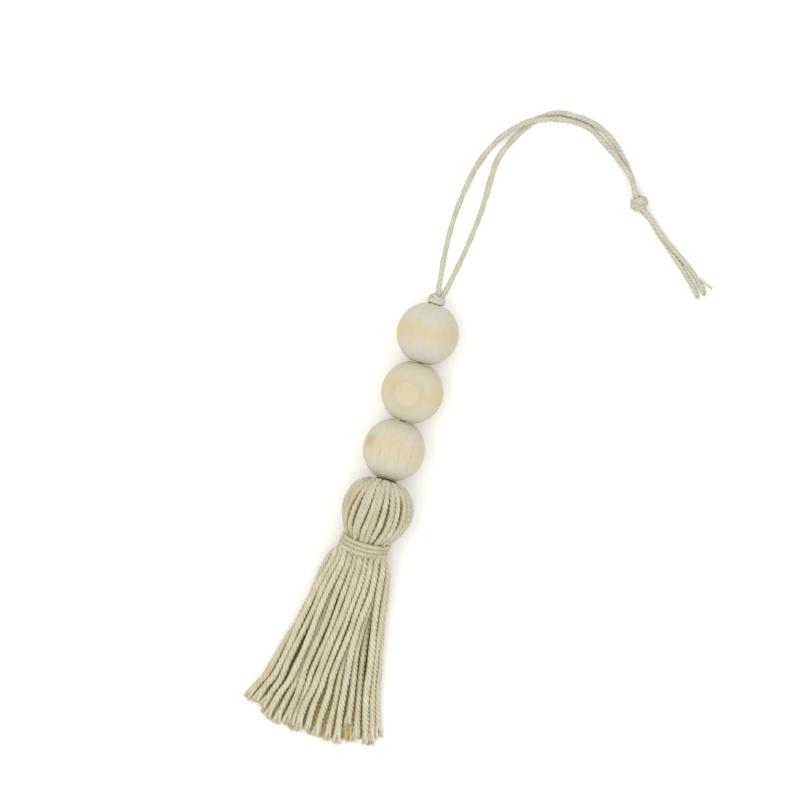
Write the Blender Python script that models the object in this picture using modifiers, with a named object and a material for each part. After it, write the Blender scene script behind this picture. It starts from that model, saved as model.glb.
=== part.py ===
"""Cotton tassel on a knotted hanging cord with three turned wooden beads, lying on a flat surface.

Metres, +Z up, surface at z = 0. The beads stand in a row along +Y, the skirt fans out towards -Y and the
hanging cord curves over towards +X. The origin is on the surface, under the middle of the row of beads,
head and skirt, and the head's centre is HEAD_ALONG from it.
"""

import math

import bmesh
import bpy
import numpy as np
from mathutils import Matrix, Vector

MM = 0.001
CLEARANCE = 0.3 * MM

# Beads: turned balls with a small flat at each end of the bore.
BEAD_RADIUS = 10.0 * MM
BEAD_FLAT_RADIUS = 3.3 * MM
BEAD_BORE_RADIUS = 2.5 * MM
BEAD_TURN_STEPS = 28
BEAD_ARC_BANDS = 11
BEAD_NAMES = ("bead_bottom", "bead_middle", "bead_top")
BEAD_SIDEWAYS = (0.0, 0.5 * MM, 0.0)

# Hanging cord: one cord laid double through the beads, then two loop strands and two tails.
CORD_RADIUS = 1.0 * MM
CORD_POINT_SPACING = 4.0 * MM
THREADED_RADIUS = 1.9 * MM
THREADED_SIDEWAYS = 0.2 * MM
THREADED_SIDES = 16
POCKET_DEPTH = 5.0 * MM

# Head, neck and wrap of the tassel.
HEAD_ALONG = 1.0 * MM
HEAD_RADIUS = 11.4 * MM
HEAD_TOP = 10.06 * MM
HEAD_TOP_FLAT_RADIUS = 3.8 * MM
HEAD_ARC_POINTS = 11
HEAD_RIBS = 32
HEAD_RIB_DEPTH = 0.85 * MM
NECK_RADIUS = 6.3 * MM
PLUG_RADIUS = 7.9 * MM
PLUG_END = 14.2 * MM
WRAP_PLACE = 10.95 * MM
WRAP_TURNS = 3
WRAP_TURN_LENGTH = 1.35 * MM
WRAP_INNER_RADIUS = 6.75 * MM
WRAP_OUTER_RADIUS = 8.05 * MM
WRAP_YAW = math.radians(2.9)
WRAP_STEPS = 30
NECK_MARGIN = 0.5 * MM

# Centre line of the head, neck and skirt: distance from the head's centre towards the skirt,
# sideways place and height above the surface.
SPINE = (
    (-10.5 * MM, 0.15 * MM, 9.95 * MM),
    (0.0 * MM, 0.35 * MM, 10.75 * MM),
    (11.0 * MM, -0.5 * MM, 9.35 * MM),
    (16.0 * MM, -1.1 * MM, 8.55 * MM),
    (24.0 * MM, -0.8 * MM, 7.6 * MM),
    (37.0 * MM, -0.3 * MM, 6.8 * MM),
    (52.0 * MM, -0.4 * MM, 6.1 * MM),
    (76.0 * MM, -0.5 * MM, 5.5 * MM),
)

# Skirt: cords packed in rows in the root plug, which sink into a heap of two layers on the surface.
ROOT_ROWS = (4, 6, 6, 6, 6, 4)
ROOT_PITCH = 2.15 * MM
ROOT_EMBEDDED = 0.8 * MM
SKIRT_LENGTH = 59.3 * MM
SKIRT_END_UNEVENNESS = 1.1 * MM
SKIRT_STATIONS = 12
SKIRT_SEED = 4
SETTLING_ROUNDS = 900
SMOOTHED_ROUNDS = 600
SETTLING_STEP = 0.08 * MM

# Outline of the skirt: distance below the root, half width, underside, top and width of one cord.
SKIRT_SECTIONS = (
    (0.0 * MM, 7.9 * MM, 1.1 * MM, 16.7 * MM, 1.8 * MM),
    (5.0 * MM, 11.4 * MM, 0.2 * MM, 15.4 * MM, 1.8 * MM),
    (10.0 * MM, 13.0 * MM, 0.0 * MM, 13.4 * MM, 1.85 * MM),
    (17.0 * MM, 13.9 * MM, 0.0 * MM, 11.2 * MM, 1.85 * MM),
    (25.0 * MM, 15.0 * MM, 0.0 * MM, 9.2 * MM, 1.9 * MM),
    (41.0 * MM, 18.2 * MM, 0.0 * MM, 7.2 * MM, 2.0 * MM),
    (61.0 * MM, 25.6 * MM, 0.0 * MM, 5.4 * MM, 2.15 * MM),
)

# Upper layer of the skirt, from left to right: each cord's sideways place as a share of the half width
# at these distances below the root. The sunk ones start below their neighbours and come up further down.
UPPER_CORD_DROPS = (11.0 * MM, 21.0 * MM, 31.0 * MM, 41.0 * MM, 51.0 * MM)
UPPER_CORDS = (
    (-0.97, -0.97, -0.97, -0.95, -0.95),
    (-0.83, -0.89, -0.86, -0.82, -0.82),
    (-0.69, -0.75, -0.72, -0.71, -0.69),
    (-0.54, -0.60, -0.56, -0.55, -0.56),
    (-0.45, -0.48, -0.47, -0.46, -0.43),
    (-0.34, -0.38, -0.38, -0.38, -0.32),
    (-0.15, -0.21, -0.22, -0.25, -0.23),
    (0.01, -0.07, -0.10, -0.14, -0.15),
    (0.17, 0.07, 0.02, -0.01, -0.04),
    (0.34, 0.23, 0.18, 0.12, 0.11),
    (0.40, 0.32, 0.28, 0.25, 0.25),
    (0.52, 0.39, 0.34, 0.37, 0.37),
    (0.60, 0.48, 0.46, 0.49, 0.50),
    (0.62, 0.56, 0.60, 0.63, 0.62),
    (0.71, 0.73, 0.75, 0.76, 0.75),
    (0.86, 0.86, 0.86, 0.85, 0.84),
    (0.95, 0.96, 0.96, 0.95, 0.94),
)
SUNK_CORDS = (0, 4, 10, 12, 13)
SUNK_DEPTH = 2.2 * MM
GAP_WITHOUT_LOWER_CORD = 12

# Knots: profile as distance from the end nearest the bead or loop, and radius.
BASE_KNOT_PROFILE = (
    (0.0 * MM, 2.75 * MM),
    (0.5 * MM, 3.0 * MM),
    (1.2 * MM, 2.95 * MM),
    (1.55 * MM, 2.6 * MM),
    (2.0 * MM, 2.85 * MM),
    (2.9 * MM, 2.75 * MM),
    (3.3 * MM, 2.3 * MM),
    (3.8 * MM, 2.4 * MM),
    (4.5 * MM, 2.2 * MM),
)
BASE_KNOT_SIDEWAYS = -0.3 * MM
BASE_KNOT_LEAN = 0.6 * MM
END_KNOT_PROFILE = (
    (0.0 * MM, 2.1 * MM),
    (0.7 * MM, 2.75 * MM),
    (1.6 * MM, 3.05 * MM),
    (2.4 * MM, 2.95 * MM),
    (2.75 * MM, 2.55 * MM),
    (3.1 * MM, 2.95 * MM),
    (3.9 * MM, 3.05 * MM),
    (4.7 * MM, 2.7 * MM),
    (5.4 * MM, 2.1 * MM),
)
END_KNOT_START = (51.3 * MM, 120.1 * MM)
END_KNOT_HEADING = (0.652, -0.758)
KNOT_SIDES = 20

# Routes of the free cord, each a list of places that it passes through: sideways, along, height.
LOOP_OUTER_ROUTE = (
    (-0.80, 73.8, 9.9),
    (-1.05, 78.0, 9.8),
    (-1.8, 84.8, 9.0),
    (-2.4, 92.0, 7.4),
    (-2.2, 99.0, 5.3),
    (-1.4, 107.4, 2.7),
    (0.1, 115.2, 1.3),
    (3.3, 123.4, 1.1),
    (8.6, 130.3, 2.5),
    (12.2, 133.0, 3.4),
    (16.0, 135.0, 3.3),
    (20.7, 136.3, 2.2),
    (26.0, 136.8, 1.1),
    (31.2, 136.1, 1.05),
    (36.4, 133.3, 1.1),
    (40.6, 130.9, 2.2),
    (44.4, 128.1, 3.4),
    (48.2, 124.4, 3.9),
    (51.07, 120.35, 4.15),
)
LOOP_INNER_ROUTE = (
    (1.50, 73.8, 9.9),
    (2.3, 78.6, 9.7),
    (3.5, 84.5, 8.9),
    (4.6, 92.2, 7.1),
    (5.3, 98.9, 5.0),
    (5.6, 105.0, 3.0),
    (5.5, 112.0, 1.5),
    (5.9, 119.0, 1.05),
    (8.2, 125.2, 1.05),
    (12.0, 131.6, 1.05),
    (15.9, 136.4, 1.05),
    (19.9, 138.7, 1.05),
    (25.2, 139.3, 1.05),
    (30.6, 139.0, 1.05),
    (35.5, 137.6, 1.05),
    (39.6, 135.2, 1.05),
    (43.1, 132.1, 1.05),
    (46.0, 128.8, 1.1),
    (48.7, 124.7, 1.5),
    (51.07, 120.35, 1.85),
)
TAIL_LEFT_ROUTE = (
    (55.05, 115.75, 1.85),
    (59.2, 111.6, 1.3),
    (64.2, 107.4, 1.05),
    (68.2, 104.2, 1.05),
    (71.5, 101.8, 1.05),
    (74.8, 98.9, 1.05),
    (79.6, 94.6, 1.05),
)
TAIL_RIGHT_ROUTE = (
    (55.05, 115.75, 4.15),
    (60.0, 112.2, 3.6),
    (65.2, 108.8, 2.9),
    (69.4, 106.7, 1.6),
    (72.9, 104.3, 1.05),
    (76.4, 101.9, 1.05),
    (79.1, 99.4, 1.05),
    (81.7, 96.2, 1.05),
)

COLOURS = {
    "wood": ((0.72, 0.64, 0.49), 0.55),
    "cord": ((0.60, 0.56, 0.43), 0.9),
    "yarn": ((0.57, 0.53, 0.40), 0.9),
}


def bead_height():
    """Height of the beads' axis when a facet of the turned ball lies flat on the surface."""
    half_band = math.asin(bead_half_length() / BEAD_RADIUS) / BEAD_ARC_BANDS
    return BEAD_RADIUS * math.cos(half_band) * math.cos(math.pi / BEAD_TURN_STEPS)


def bead_half_length():
    """Half the length of a bead between its flats."""
    return math.sqrt(BEAD_RADIUS**2 - BEAD_FLAT_RADIUS**2)


def bead_centres():
    """Places of the beads' centres, the lowest bead first."""
    pitch = 2 * bead_half_length() + CLEARANCE
    first = HEAD_ALONG + HEAD_TOP + CLEARANCE + bead_half_length()
    return [
        Vector((sideways, first + number * pitch, bead_height()))
        for number, sideways in enumerate(BEAD_SIDEWAYS)
    ]


def smooth_rows(rows, at):
    """Columns of a table read as smooth curves of its first column, at the given values."""
    table = np.array(rows)
    knots, values = table[:, 0], table[:, 1:]
    slopes = np.gradient(values, knots, axis=0)
    at = np.clip(np.atleast_1d(at), knots[0], knots[-1])
    left = np.clip(np.searchsorted(knots, at, side="right") - 1, 0, len(knots) - 2)
    span = (knots[left + 1] - knots[left])[:, None]
    step = ((at - knots[left])[:, None]) / span
    return (
        (2 * step**3 - 3 * step**2 + 1) * values[left]
        + (step**3 - 2 * step**2 + step) * span * slopes[left]
        + (3 * step**2 - 2 * step**3) * values[left + 1]
        + (step**3 - step**2) * span * slopes[left + 1]
    )


def on_spine(reach, sideways, upward):
    """Places on the cross-sections that stand square to the tassel's centre line.

    reach is the distance from the head's centre towards the skirt; sideways and upward are measured from
    the centre line in the section's own plane.
    """
    reach, sideways, upward = np.broadcast_arrays(reach, sideways, upward)
    shape, flat = reach.shape, reach.ravel()
    centre = smooth_rows(SPINE, flat)
    nudge = 0.5 * MM
    rise = smooth_rows(SPINE, flat - nudge)[:, 1] - smooth_rows(SPINE, flat + nudge)[:, 1]
    lean = np.arctan2(rise, 2 * nudge)
    x = centre[:, 0] + sideways.ravel()
    y = HEAD_ALONG - flat - upward.ravel() * np.sin(lean)
    z = centre[:, 1] + upward.ravel() * np.cos(lean)
    return np.stack([x, y, z], axis=-1).reshape(shape + (3,))


def collection(name):
    """A new collection in the scene."""
    made = bpy.data.collections.new(name)
    bpy.context.scene.collection.children.link(made)
    return made


def material(name):
    """A Principled material with the colour and roughness of one kind of surface."""
    if name in bpy.data.materials:
        return bpy.data.materials[name]
    colour, roughness = COLOURS[name]
    made = bpy.data.materials.new(name)
    made.use_nodes = True
    shader = made.node_tree.nodes["Principled BSDF"]
    shader.inputs["Base Color"].default_value = (*colour, 1.0)
    shader.inputs["Roughness"].default_value = roughness
    shader.inputs["Metallic"].default_value = 0.0
    return made


def add_object(name, data, group, surface=None):
    """An object in a collection, with its material."""
    made = bpy.data.objects.new(name, data)
    group.objects.link(made)
    if surface:
        data.materials.append(material(surface))
    return made


def hide_helper(helper):
    """Marks a cutter or joined shape as a helper."""
    helper.hide_render = True
    helper.display_type = "WIRE"


def add_boolean(target, helper, operation):
    """Joins a helper to a solid or cuts it away."""
    modifier = target.modifiers.new(helper.name, "BOOLEAN")
    modifier.object = helper
    modifier.operation = operation
    modifier.solver = "EXACT"


def turned_object(name, profile, steps, group, surface=None, closed=False):
    """A turned solid about local Z: profile of (radius, height) down the outer side, top to bottom."""
    mesh = bpy.data.meshes.new(name)
    points = [(radius, 0.0, height) for radius, height in profile]
    edges = [(k, k + 1) for k in range(len(points) - 1)]
    if closed:
        edges.append((len(points) - 1, 0))
    mesh.from_pydata(points, edges, [])
    made = add_object(name, mesh, group, surface)
    screw = made.modifiers.new("turn", "SCREW")
    screw.steps = steps
    screw.render_steps = steps
    screw.use_merge_vertices = True
    screw.merge_threshold = 0.00001
    screw.use_smooth_shade = True
    return made


def evaluated_mesh(source):
    """A plain mesh of an object with its modifiers or bevel worked in."""
    bpy.context.view_layer.update()
    graph = bpy.context.evaluated_depsgraph_get()
    return bpy.data.meshes.new_from_object(source.evaluated_get(graph))


def vertex_places(mesh):
    """The places of a mesh's vertices, one row each."""
    places = np.empty(3 * len(mesh.vertices))
    mesh.vertices.foreach_get("co", places)
    return places.reshape(-1, 3)


def move_vertices(mesh, places):
    """Moves a mesh's vertices to new places."""
    mesh.vertices.foreach_set("co", places.ravel())
    mesh.update()


def add_bead(name, centre, group):
    """A bored ball: its arc from flat to flat, closed by the wall of the bore."""
    end = math.asin(bead_half_length() / BEAD_RADIUS)
    latitudes = np.linspace(end, -end, BEAD_ARC_BANDS + 1)
    profile = [(BEAD_RADIUS * math.cos(lat), BEAD_RADIUS * math.sin(lat)) for lat in latitudes]
    profile += [(BEAD_BORE_RADIUS, -bead_half_length()), (BEAD_BORE_RADIUS, bead_half_length())]
    bead = turned_object(name, profile, BEAD_TURN_STEPS, group, "wood", closed=True)
    bead.location = centre
    bead.rotation_euler = (-math.pi / 2, math.pi / BEAD_TURN_STEPS, 0.0)
    return bead


def head_profile():
    """Outer side of the head, neck and root plug: (reach, radius, rib depth), top to bottom."""
    first = -math.sqrt(HEAD_RADIUS**2 - 5.6**2 * MM**2)
    last = 7.8 * MM
    angles = np.linspace(math.asin(first / HEAD_RADIUS), math.asin(last / HEAD_RADIUS), HEAD_ARC_POINTS)
    arc = [
        (HEAD_RADIUS * math.sin(angle), HEAD_RADIUS * math.cos(angle), HEAD_RIB_DEPTH) for angle in angles
    ]
    top = [
        (-HEAD_TOP, 0.0, 0.0),
        (-HEAD_TOP, HEAD_TOP_FLAT_RADIUS, 0.0),
        (-HEAD_TOP + 0.12 * MM, 4.8 * MM, 0.5 * HEAD_RIB_DEPTH),
    ]
    half_wrap = 0.5 * WRAP_TURNS * WRAP_TURN_LENGTH + NECK_MARGIN
    neck = [
        (WRAP_PLACE - half_wrap, NECK_RADIUS, 0.0),
        (WRAP_PLACE + half_wrap, NECK_RADIUS, 0.0),
        (WRAP_PLACE + half_wrap + 0.3 * MM, PLUG_RADIUS, 0.0),
        (PLUG_END, PLUG_RADIUS, 0.0),
        (PLUG_END, 0.0, 0.0),
    ]
    return top + arc + neck


def add_head(group, helpers):
    """The ribbed ball of folded-over cords, its pinched neck and the plug that the skirt is rooted in."""
    profile = head_profile()
    blank = turned_object("head_blank", [(row[1], -row[0]) for row in profile], 4 * HEAD_RIBS, helpers)
    mesh = evaluated_mesh(blank)
    bpy.data.objects.remove(blank)

    places = vertex_places(mesh)
    reach = -places[:, 2]
    radius = np.hypot(places[:, 0], places[:, 1])
    around = np.arctan2(places[:, 1], places[:, 0])
    rows = np.array(profile)
    on_row = np.abs(rows[None, :, 0] - reach[:, None]) + np.abs(rows[None, :, 1] - radius[:, None])
    depth = rows[np.argmin(on_row, axis=1), 2]
    crest = np.abs(np.cos(0.5 * HEAD_RIBS * (around - math.pi / 2)))
    radius = radius - depth * (1.0 - crest)
    places = on_spine(reach, radius * np.cos(around), -radius * np.sin(around))
    places[:, 2] = np.maximum(places[:, 2], 0.0)
    places[:, 1] = np.minimum(places[:, 1], HEAD_ALONG + HEAD_TOP)
    move_vertices(mesh, places)
    return add_object("tassel", mesh, group, "yarn")


def row_places(rows, pitch, row_height):
    """Places in centred rows, the lowest row first: sideways, and upward from the middle of the rows."""
    middle = (len(rows) - 1) / 2
    return np.array(
        [
            ((k - (count - 1) / 2) * pitch, (row - middle) * row_height)
            for row, count in enumerate(rows)
            for k in range(count)
        ]
    )


def matched_places(starts, ends):
    """The ends in the order of the starts that leaves the least sideways and upward travel."""
    order = np.empty(len(starts), dtype=int)
    order[np.lexsort((starts[:, 1], starts[:, 0]))] = np.lexsort((ends[:, 1], ends[:, 0]))
    travel = np.sum((starts[:, None, :] - ends[None, :, :]) ** 2, axis=2)
    improved = True
    while improved:
        improved = False
        for a in range(len(starts)):
            for b in range(a + 1, len(starts)):
                kept = travel[a, order[a]] + travel[b, order[b]]
                swapped = travel[a, order[b]] + travel[b, order[a]]
                if swapped < kept - 1e-9:
                    order[a], order[b] = order[b], order[a]
                    improved = True
    return order


def pushed_apart(stations, cells):
    """How far each square cell has to move, at each station, to clear the cells that it overlaps."""
    gaps = stations[:, :, None, :] - stations[:, None, :, :]
    overlap = cells[:, None, None, None] - np.abs(gaps)
    touching = np.all(overlap > 0, axis=3) & ~np.eye(stations.shape[1], dtype=bool)
    sideways = overlap[..., 0] < overlap[..., 1]
    push = np.sign(gaps) * overlap
    push[..., 0] *= touching & sideways
    push[..., 1] *= touching & ~sideways
    return push.sum(axis=2)


def skirt_heap(drops):
    """Where the cords would lie with no thickness: sideways share (station, cord) and layer, 1 above 0."""
    upper = smooth_rows(
        [(drop, *column) for drop, column in zip(UPPER_CORD_DROPS, zip(*UPPER_CORDS))], drops
    )
    between = 0.5 * (upper[:, 1:] + upper[:, :-1])
    lower = np.delete(between, GAP_WITHOUT_LOWER_CORD, axis=1)
    layer = np.append(np.ones(upper.shape[1]), np.zeros(lower.shape[1]))
    return np.concatenate([upper, lower], axis=1), layer


def skirt_places():
    """Where each cord of the skirt lies: drops of the stations, places (station, cord, 2) and widths."""
    drops = SKIRT_SECTIONS[-1][0] * np.linspace(0.0, 1.0, SKIRT_STATIONS) ** 1.3
    half_width, underside, top, width = smooth_rows(SKIRT_SECTIONS, drops).T[:, :, None]
    centre = smooth_rows(SPINE, PLUG_END + drops)[:, 1][:, None]
    share, layer = skirt_heap(drops)
    height = underside + 0.5 * width + layer * (top - underside - width) - centre
    arch = np.sqrt(np.clip(1.0 - share**2, 0.0, 1.0))
    height = underside + 0.5 * width - centre + (height - underside - 0.5 * width + centre) * arch
    sunk = np.zeros(len(layer))
    sunk[list(SUNK_CORDS)] = SUNK_DEPTH
    height -= sunk * (1.0 - drops / drops[-1])[:, None]
    heap = np.stack([half_width * share, height], axis=2)

    roots = row_places(ROOT_ROWS, ROOT_PITCH, ROOT_PITCH)
    order = matched_places(heap[2] / np.abs(heap[2]).max(axis=0), roots / np.abs(roots).max(axis=0))
    roots = roots[order]
    blend = np.clip(drops / UPPER_CORD_DROPS[0], 0.0, 1.0)[:, None, None]
    blend = 3 * blend**2 - 2 * blend**3
    stations = (1 - blend) * roots + blend * heap

    cells = width[:, 0] + CLEARANCE
    floor = underside + 0.5 * width - centre
    fall = SETTLING_STEP * drops[1:, None] / drops[-1]
    for settling in range(SETTLING_ROUNDS):
        push = pushed_apart(stations, cells)
        for part in (0.25, 0.5, 0.75):
            between = (1 - part) * stations[:-1] + part * stations[1:]
            between_push = pushed_apart(between, (1 - part) * cells[:-1] + part * cells[1:])
            push[:-1] += (1 - part) * between_push
            push[1:] += part * between_push
        stations[1:] += 0.25 * push[1:]
        if settling < SMOOTHED_ROUNDS:
            stations[1:, :, 1] -= fall
            stations[1:-1] += 0.15 * (0.5 * (stations[:-2] + stations[2:]) - stations[1:-1])
            widest = half_width - 0.5 * width
            stations[..., 0] = np.clip(stations[..., 0], -widest, widest)
        stations[1:, :, 1] = np.maximum(stations[1:, :, 1], floor[1:])
    return drops, stations, width[:, 0]


def add_skirt_cords(helpers):
    """The skirt's cords as one helper of square strands, each sunk a little into the root plug."""
    drops, stations, widths = skirt_places()
    uneven = np.random.default_rng(SKIRT_SEED + 1)
    points, faces = [], []
    corners = np.array([(-0.5, -0.5), (0.5, -0.5), (0.5, 0.5), (-0.5, 0.5)])
    for cord in range(stations.shape[1]):
        far_side = stations[-1, cord, 0]
        end = math.sqrt(SKIRT_LENGTH**2 - far_side**2) + uneven.uniform(-1.0, 1.0) * SKIRT_END_UNEVENNESS
        kept = drops < end - 1.5 * MM
        cord_drops = np.append(drops[kept], end)
        x = np.interp(cord_drops, drops, stations[:, cord, 0])
        v = np.interp(cord_drops, drops, stations[:, cord, 1])
        w = np.interp(cord_drops, drops, widths)
        cord_drops[0] = -ROOT_EMBEDDED
        rings = on_spine(
            (PLUG_END + cord_drops)[:, None],
            x[:, None] + w[:, None] * corners[None, :, 0],
            v[:, None] + w[:, None] * corners[None, :, 1],
        )
        rings[:, :, 2] = np.where(rings[:, :, 2] < 0.03 * MM, 0.0, rings[:, :, 2])
        base = len(points)
        points.extend(map(tuple, rings.reshape(-1, 3)))
        for ring in range(len(cord_drops) - 1):
            for k in range(4):
                a = base + 4 * ring + k
                b = base + 4 * ring + (k + 1) % 4
                faces.append((a, b, b + 4, a + 4))
        last = base + 4 * (len(cord_drops) - 1)
        faces.append((base + 3, base + 2, base + 1, base))
        faces.append((last, last + 1, last + 2, last + 3))
    mesh = bpy.data.meshes.new("skirt_cords")
    mesh.from_pydata(points, [], faces)
    shape = bmesh.new()
    shape.from_mesh(mesh)
    bmesh.ops.recalc_face_normals(shape, faces=shape.faces)
    shape.to_mesh(mesh)
    shape.free()
    made = add_object("skirt_cords", mesh, helpers)
    hide_helper(made)
    return made


def add_pocket_cutter(helpers):
    """The hole in the head that the doubled cord comes out of."""
    bpy.ops.mesh.primitive_cylinder_add(
        vertices=THREADED_SIDES,
        radius=THREADED_RADIUS + CLEARANCE,
        depth=2 * POCKET_DEPTH,
        location=(THREADED_SIDEWAYS, HEAD_ALONG + HEAD_TOP, bead_height()),
        rotation=(math.pi / 2, 0.0, 0.0),
    )
    cutter = bpy.context.object
    cutter.name = "cord_pocket"
    for group in cutter.users_collection:
        group.objects.unlink(cutter)
    helpers.objects.link(cutter)
    hide_helper(cutter)
    return cutter


def add_tassel(group, helpers):
    """Head, neck and skirt: every cord of the skirt grows out of the neck's plug."""
    tassel = add_head(group, helpers)
    add_boolean(tassel, add_skirt_cords(helpers), "UNION")
    add_boolean(tassel, add_pocket_cutter(helpers), "DIFFERENCE")
    return tassel


def add_neck_wrap(group):
    """Three turns of cord round the neck, as one ring with a ridge for each turn."""
    ridge = 0.5 * (WRAP_OUTER_RADIUS - WRAP_INNER_RADIUS)
    top = 0.5 * WRAP_TURNS * WRAP_TURN_LENGTH
    profile = [(WRAP_INNER_RADIUS, top)]
    for turn in range(WRAP_TURNS):
        for share, bulge in ((0.04, 0.75), (0.27, 1.8), (0.5, 2.0), (0.73, 1.8)):
            height = top - (turn + share) * WRAP_TURN_LENGTH
            profile.append((WRAP_INNER_RADIUS + bulge * ridge, height))
    profile += [(WRAP_INNER_RADIUS + 0.75 * ridge, -top), (WRAP_INNER_RADIUS, -top)]
    blank = turned_object("wrap_blank", profile, WRAP_STEPS, group, closed=True)
    mesh = evaluated_mesh(blank)
    bpy.data.objects.remove(blank)
    places = vertex_places(mesh)
    reach = WRAP_PLACE - places[:, 2] - places[:, 0] * math.tan(WRAP_YAW)
    move_vertices(mesh, on_spine(reach, places[:, 0], -places[:, 1]))
    return add_object("neck_wrap", mesh, group, "yarn")


def add_threaded_cord(group):
    """The doubled cord through the three bores, from the base knot down into the head's pocket."""
    start = HEAD_ALONG + HEAD_TOP - POCKET_DEPTH + CLEARANCE
    end = bead_centres()[-1].y + bead_half_length()
    bpy.ops.mesh.primitive_cylinder_add(
        vertices=THREADED_SIDES,
        radius=THREADED_RADIUS,
        depth=end - start,
        location=(THREADED_SIDEWAYS, 0.5 * (start + end), bead_height()),
        rotation=(math.pi / 2, 0.0, 0.0),
    )
    made = bpy.context.object
    made.name = "threaded_cord"
    made.data.materials.append(material("cord"))
    for old in made.users_collection:
        old.objects.unlink(made)
    group.objects.link(made)
    return made


def add_base_knot(group):
    """The knot pulled tight on the top bead: a ridged cone that leans towards the loop's strands."""
    length = BASE_KNOT_PROFILE[-1][0]
    profile = [(0.0, length)] + [(radius, height) for height, radius in reversed(BASE_KNOT_PROFILE)]
    profile.append((0.0, 0.0))
    blank = turned_object("base_knot_blank", profile, KNOT_SIDES, group)
    mesh = evaluated_mesh(blank)
    bpy.data.objects.remove(blank)
    for vertex in mesh.vertices:
        vertex.co.x += BASE_KNOT_LEAN * vertex.co.z / length
    knot = add_object("base_knot", mesh, group, "cord")
    seat = bead_centres()[-1].y + bead_half_length() + CLEARANCE
    knot.location = (BASE_KNOT_SIDEWAYS, seat, bead_height())
    knot.rotation_euler = (-math.pi / 2, 0.0, 0.0)
    return knot


def add_end_knot(group):
    """The knot that closes the loop, a ridged bead of cord lying on the surface."""
    length = END_KNOT_PROFILE[-1][0]
    profile = [(0.0, length)] + [(radius, height) for height, radius in reversed(END_KNOT_PROFILE)]
    profile.append((0.0, 0.0))
    knot = turned_object("end_knot", profile, KNOT_SIDES, group, "cord")
    widest = max(radius for _, radius in END_KNOT_PROFILE)
    knot.location = (*END_KNOT_START, widest * math.cos(math.pi / KNOT_SIDES))
    heading = Vector((*END_KNOT_HEADING, 0.0)).normalized()
    across = Vector((0.0, 0.0, 1.0)).cross(heading)
    axes = Matrix((across, Vector((0.0, 0.0, 1.0)), heading)).transposed()
    half_step = Matrix.Rotation(math.pi / KNOT_SIDES, 3, "Z")
    knot.rotation_euler = (axes @ half_step).to_euler()
    return knot


def route_points(route):
    """Evenly spaced points along the smooth curve through a route's places, in metres."""
    places = np.array(route) * MM
    lengths = np.linalg.norm(np.diff(places, axis=0), axis=1)
    knots = np.concatenate([[0.0], np.cumsum(lengths)])
    rows = np.column_stack([knots, places])
    fine = smooth_rows(rows, np.linspace(0.0, knots[-1], 800))
    travelled = np.concatenate([[0.0], np.cumsum(np.linalg.norm(np.diff(fine, axis=0), axis=1))])
    count = max(3, round(travelled[-1] / CORD_POINT_SPACING) + 1)
    wanted = np.linspace(0.0, travelled[-1], count)
    return np.stack([np.interp(wanted, travelled, fine[:, axis]) for axis in range(3)], axis=1)


def add_cord(name, route, group):
    """A free length of cord as a round tube with filled ends."""
    curve = bpy.data.curves.new(name, "CURVE")
    curve.dimensions = "3D"
    curve.bevel_depth = CORD_RADIUS
    curve.bevel_resolution = 2
    curve.use_fill_caps = True
    spline = curve.splines.new("POLY")
    points = route_points(route)
    spline.points.add(len(points) - 1)
    for point, place in zip(spline.points, points):
        point.co = (*place, 1.0)
    return add_object(name, curve, group, "cord")


def main():
    """Builds the whole tassel."""
    for old in list(bpy.data.objects):
        bpy.data.objects.remove(old)
    group = collection("beaded_tassel")
    helpers = collection("helpers")
    for name, centre in zip(BEAD_NAMES, bead_centres()):
        add_bead(name, centre, group)
    add_tassel(group, helpers)
    add_neck_wrap(group)
    add_threaded_cord(group)
    add_base_knot(group)
    add_end_knot(group)
    add_cord("loop_strand_outer", LOOP_OUTER_ROUTE, group)
    add_cord("loop_strand_inner", LOOP_INNER_ROUTE, group)
    add_cord("tail_left", TAIL_LEFT_ROUTE, group)
    add_cord("tail_right", TAIL_RIGHT_ROUTE, group)


main()
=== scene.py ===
# %% [markdown]
# # A cotton tassel with three wooden beads
# The tassel lies flat on a table. Its plain solids are loaded first as a fixed frame, and every dressed piece
# is then placed by that frame: metres, +Z up, the row of beads along +Y, the skirt towards -Y.
# The plain solids carry the sizes. The new pieces carry what the eye wants: twisted yarn, turned wood, fray.

import math

import bpy
import numpy as np
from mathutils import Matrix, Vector


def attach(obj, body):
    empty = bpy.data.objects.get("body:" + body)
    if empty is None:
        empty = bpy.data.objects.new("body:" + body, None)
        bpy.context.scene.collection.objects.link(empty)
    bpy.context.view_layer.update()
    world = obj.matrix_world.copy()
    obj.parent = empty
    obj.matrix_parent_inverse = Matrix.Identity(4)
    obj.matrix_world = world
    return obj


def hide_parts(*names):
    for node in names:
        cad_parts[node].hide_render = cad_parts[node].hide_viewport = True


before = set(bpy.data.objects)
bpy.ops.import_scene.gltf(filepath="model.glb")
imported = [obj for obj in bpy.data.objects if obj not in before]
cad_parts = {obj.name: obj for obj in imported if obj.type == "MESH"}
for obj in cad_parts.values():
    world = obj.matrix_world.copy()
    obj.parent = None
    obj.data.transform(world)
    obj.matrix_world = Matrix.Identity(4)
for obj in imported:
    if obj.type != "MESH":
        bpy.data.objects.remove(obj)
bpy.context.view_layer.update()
MM = 0.001
UP = np.array([0.0, 0.0, 1.0])


def placed(name, data):
    """A new object in the scene that shows a mesh, a camera or a lamp."""
    made = bpy.data.objects.new(name, data)
    bpy.context.scene.collection.objects.link(made)
    return made


# %% [markdown]
# ## Camera
# The tassel is looked at from straight above. A very long lens keeps the view almost parallel, so the round
# beads stay round at the edge of the picture. The camera is turned so that the skirt points down and left.

# %% Camera
PICTURE_WIDTH = 254.4 * MM
PICTURE_CENTRE = (-2.6 * MM, 36.5 * MM)
FOCUS_HEIGHT = 8.0 * MM
LENS, SENSOR = 250.0, 36.0
PICTURE_TURN = math.radians(16.22)

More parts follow.
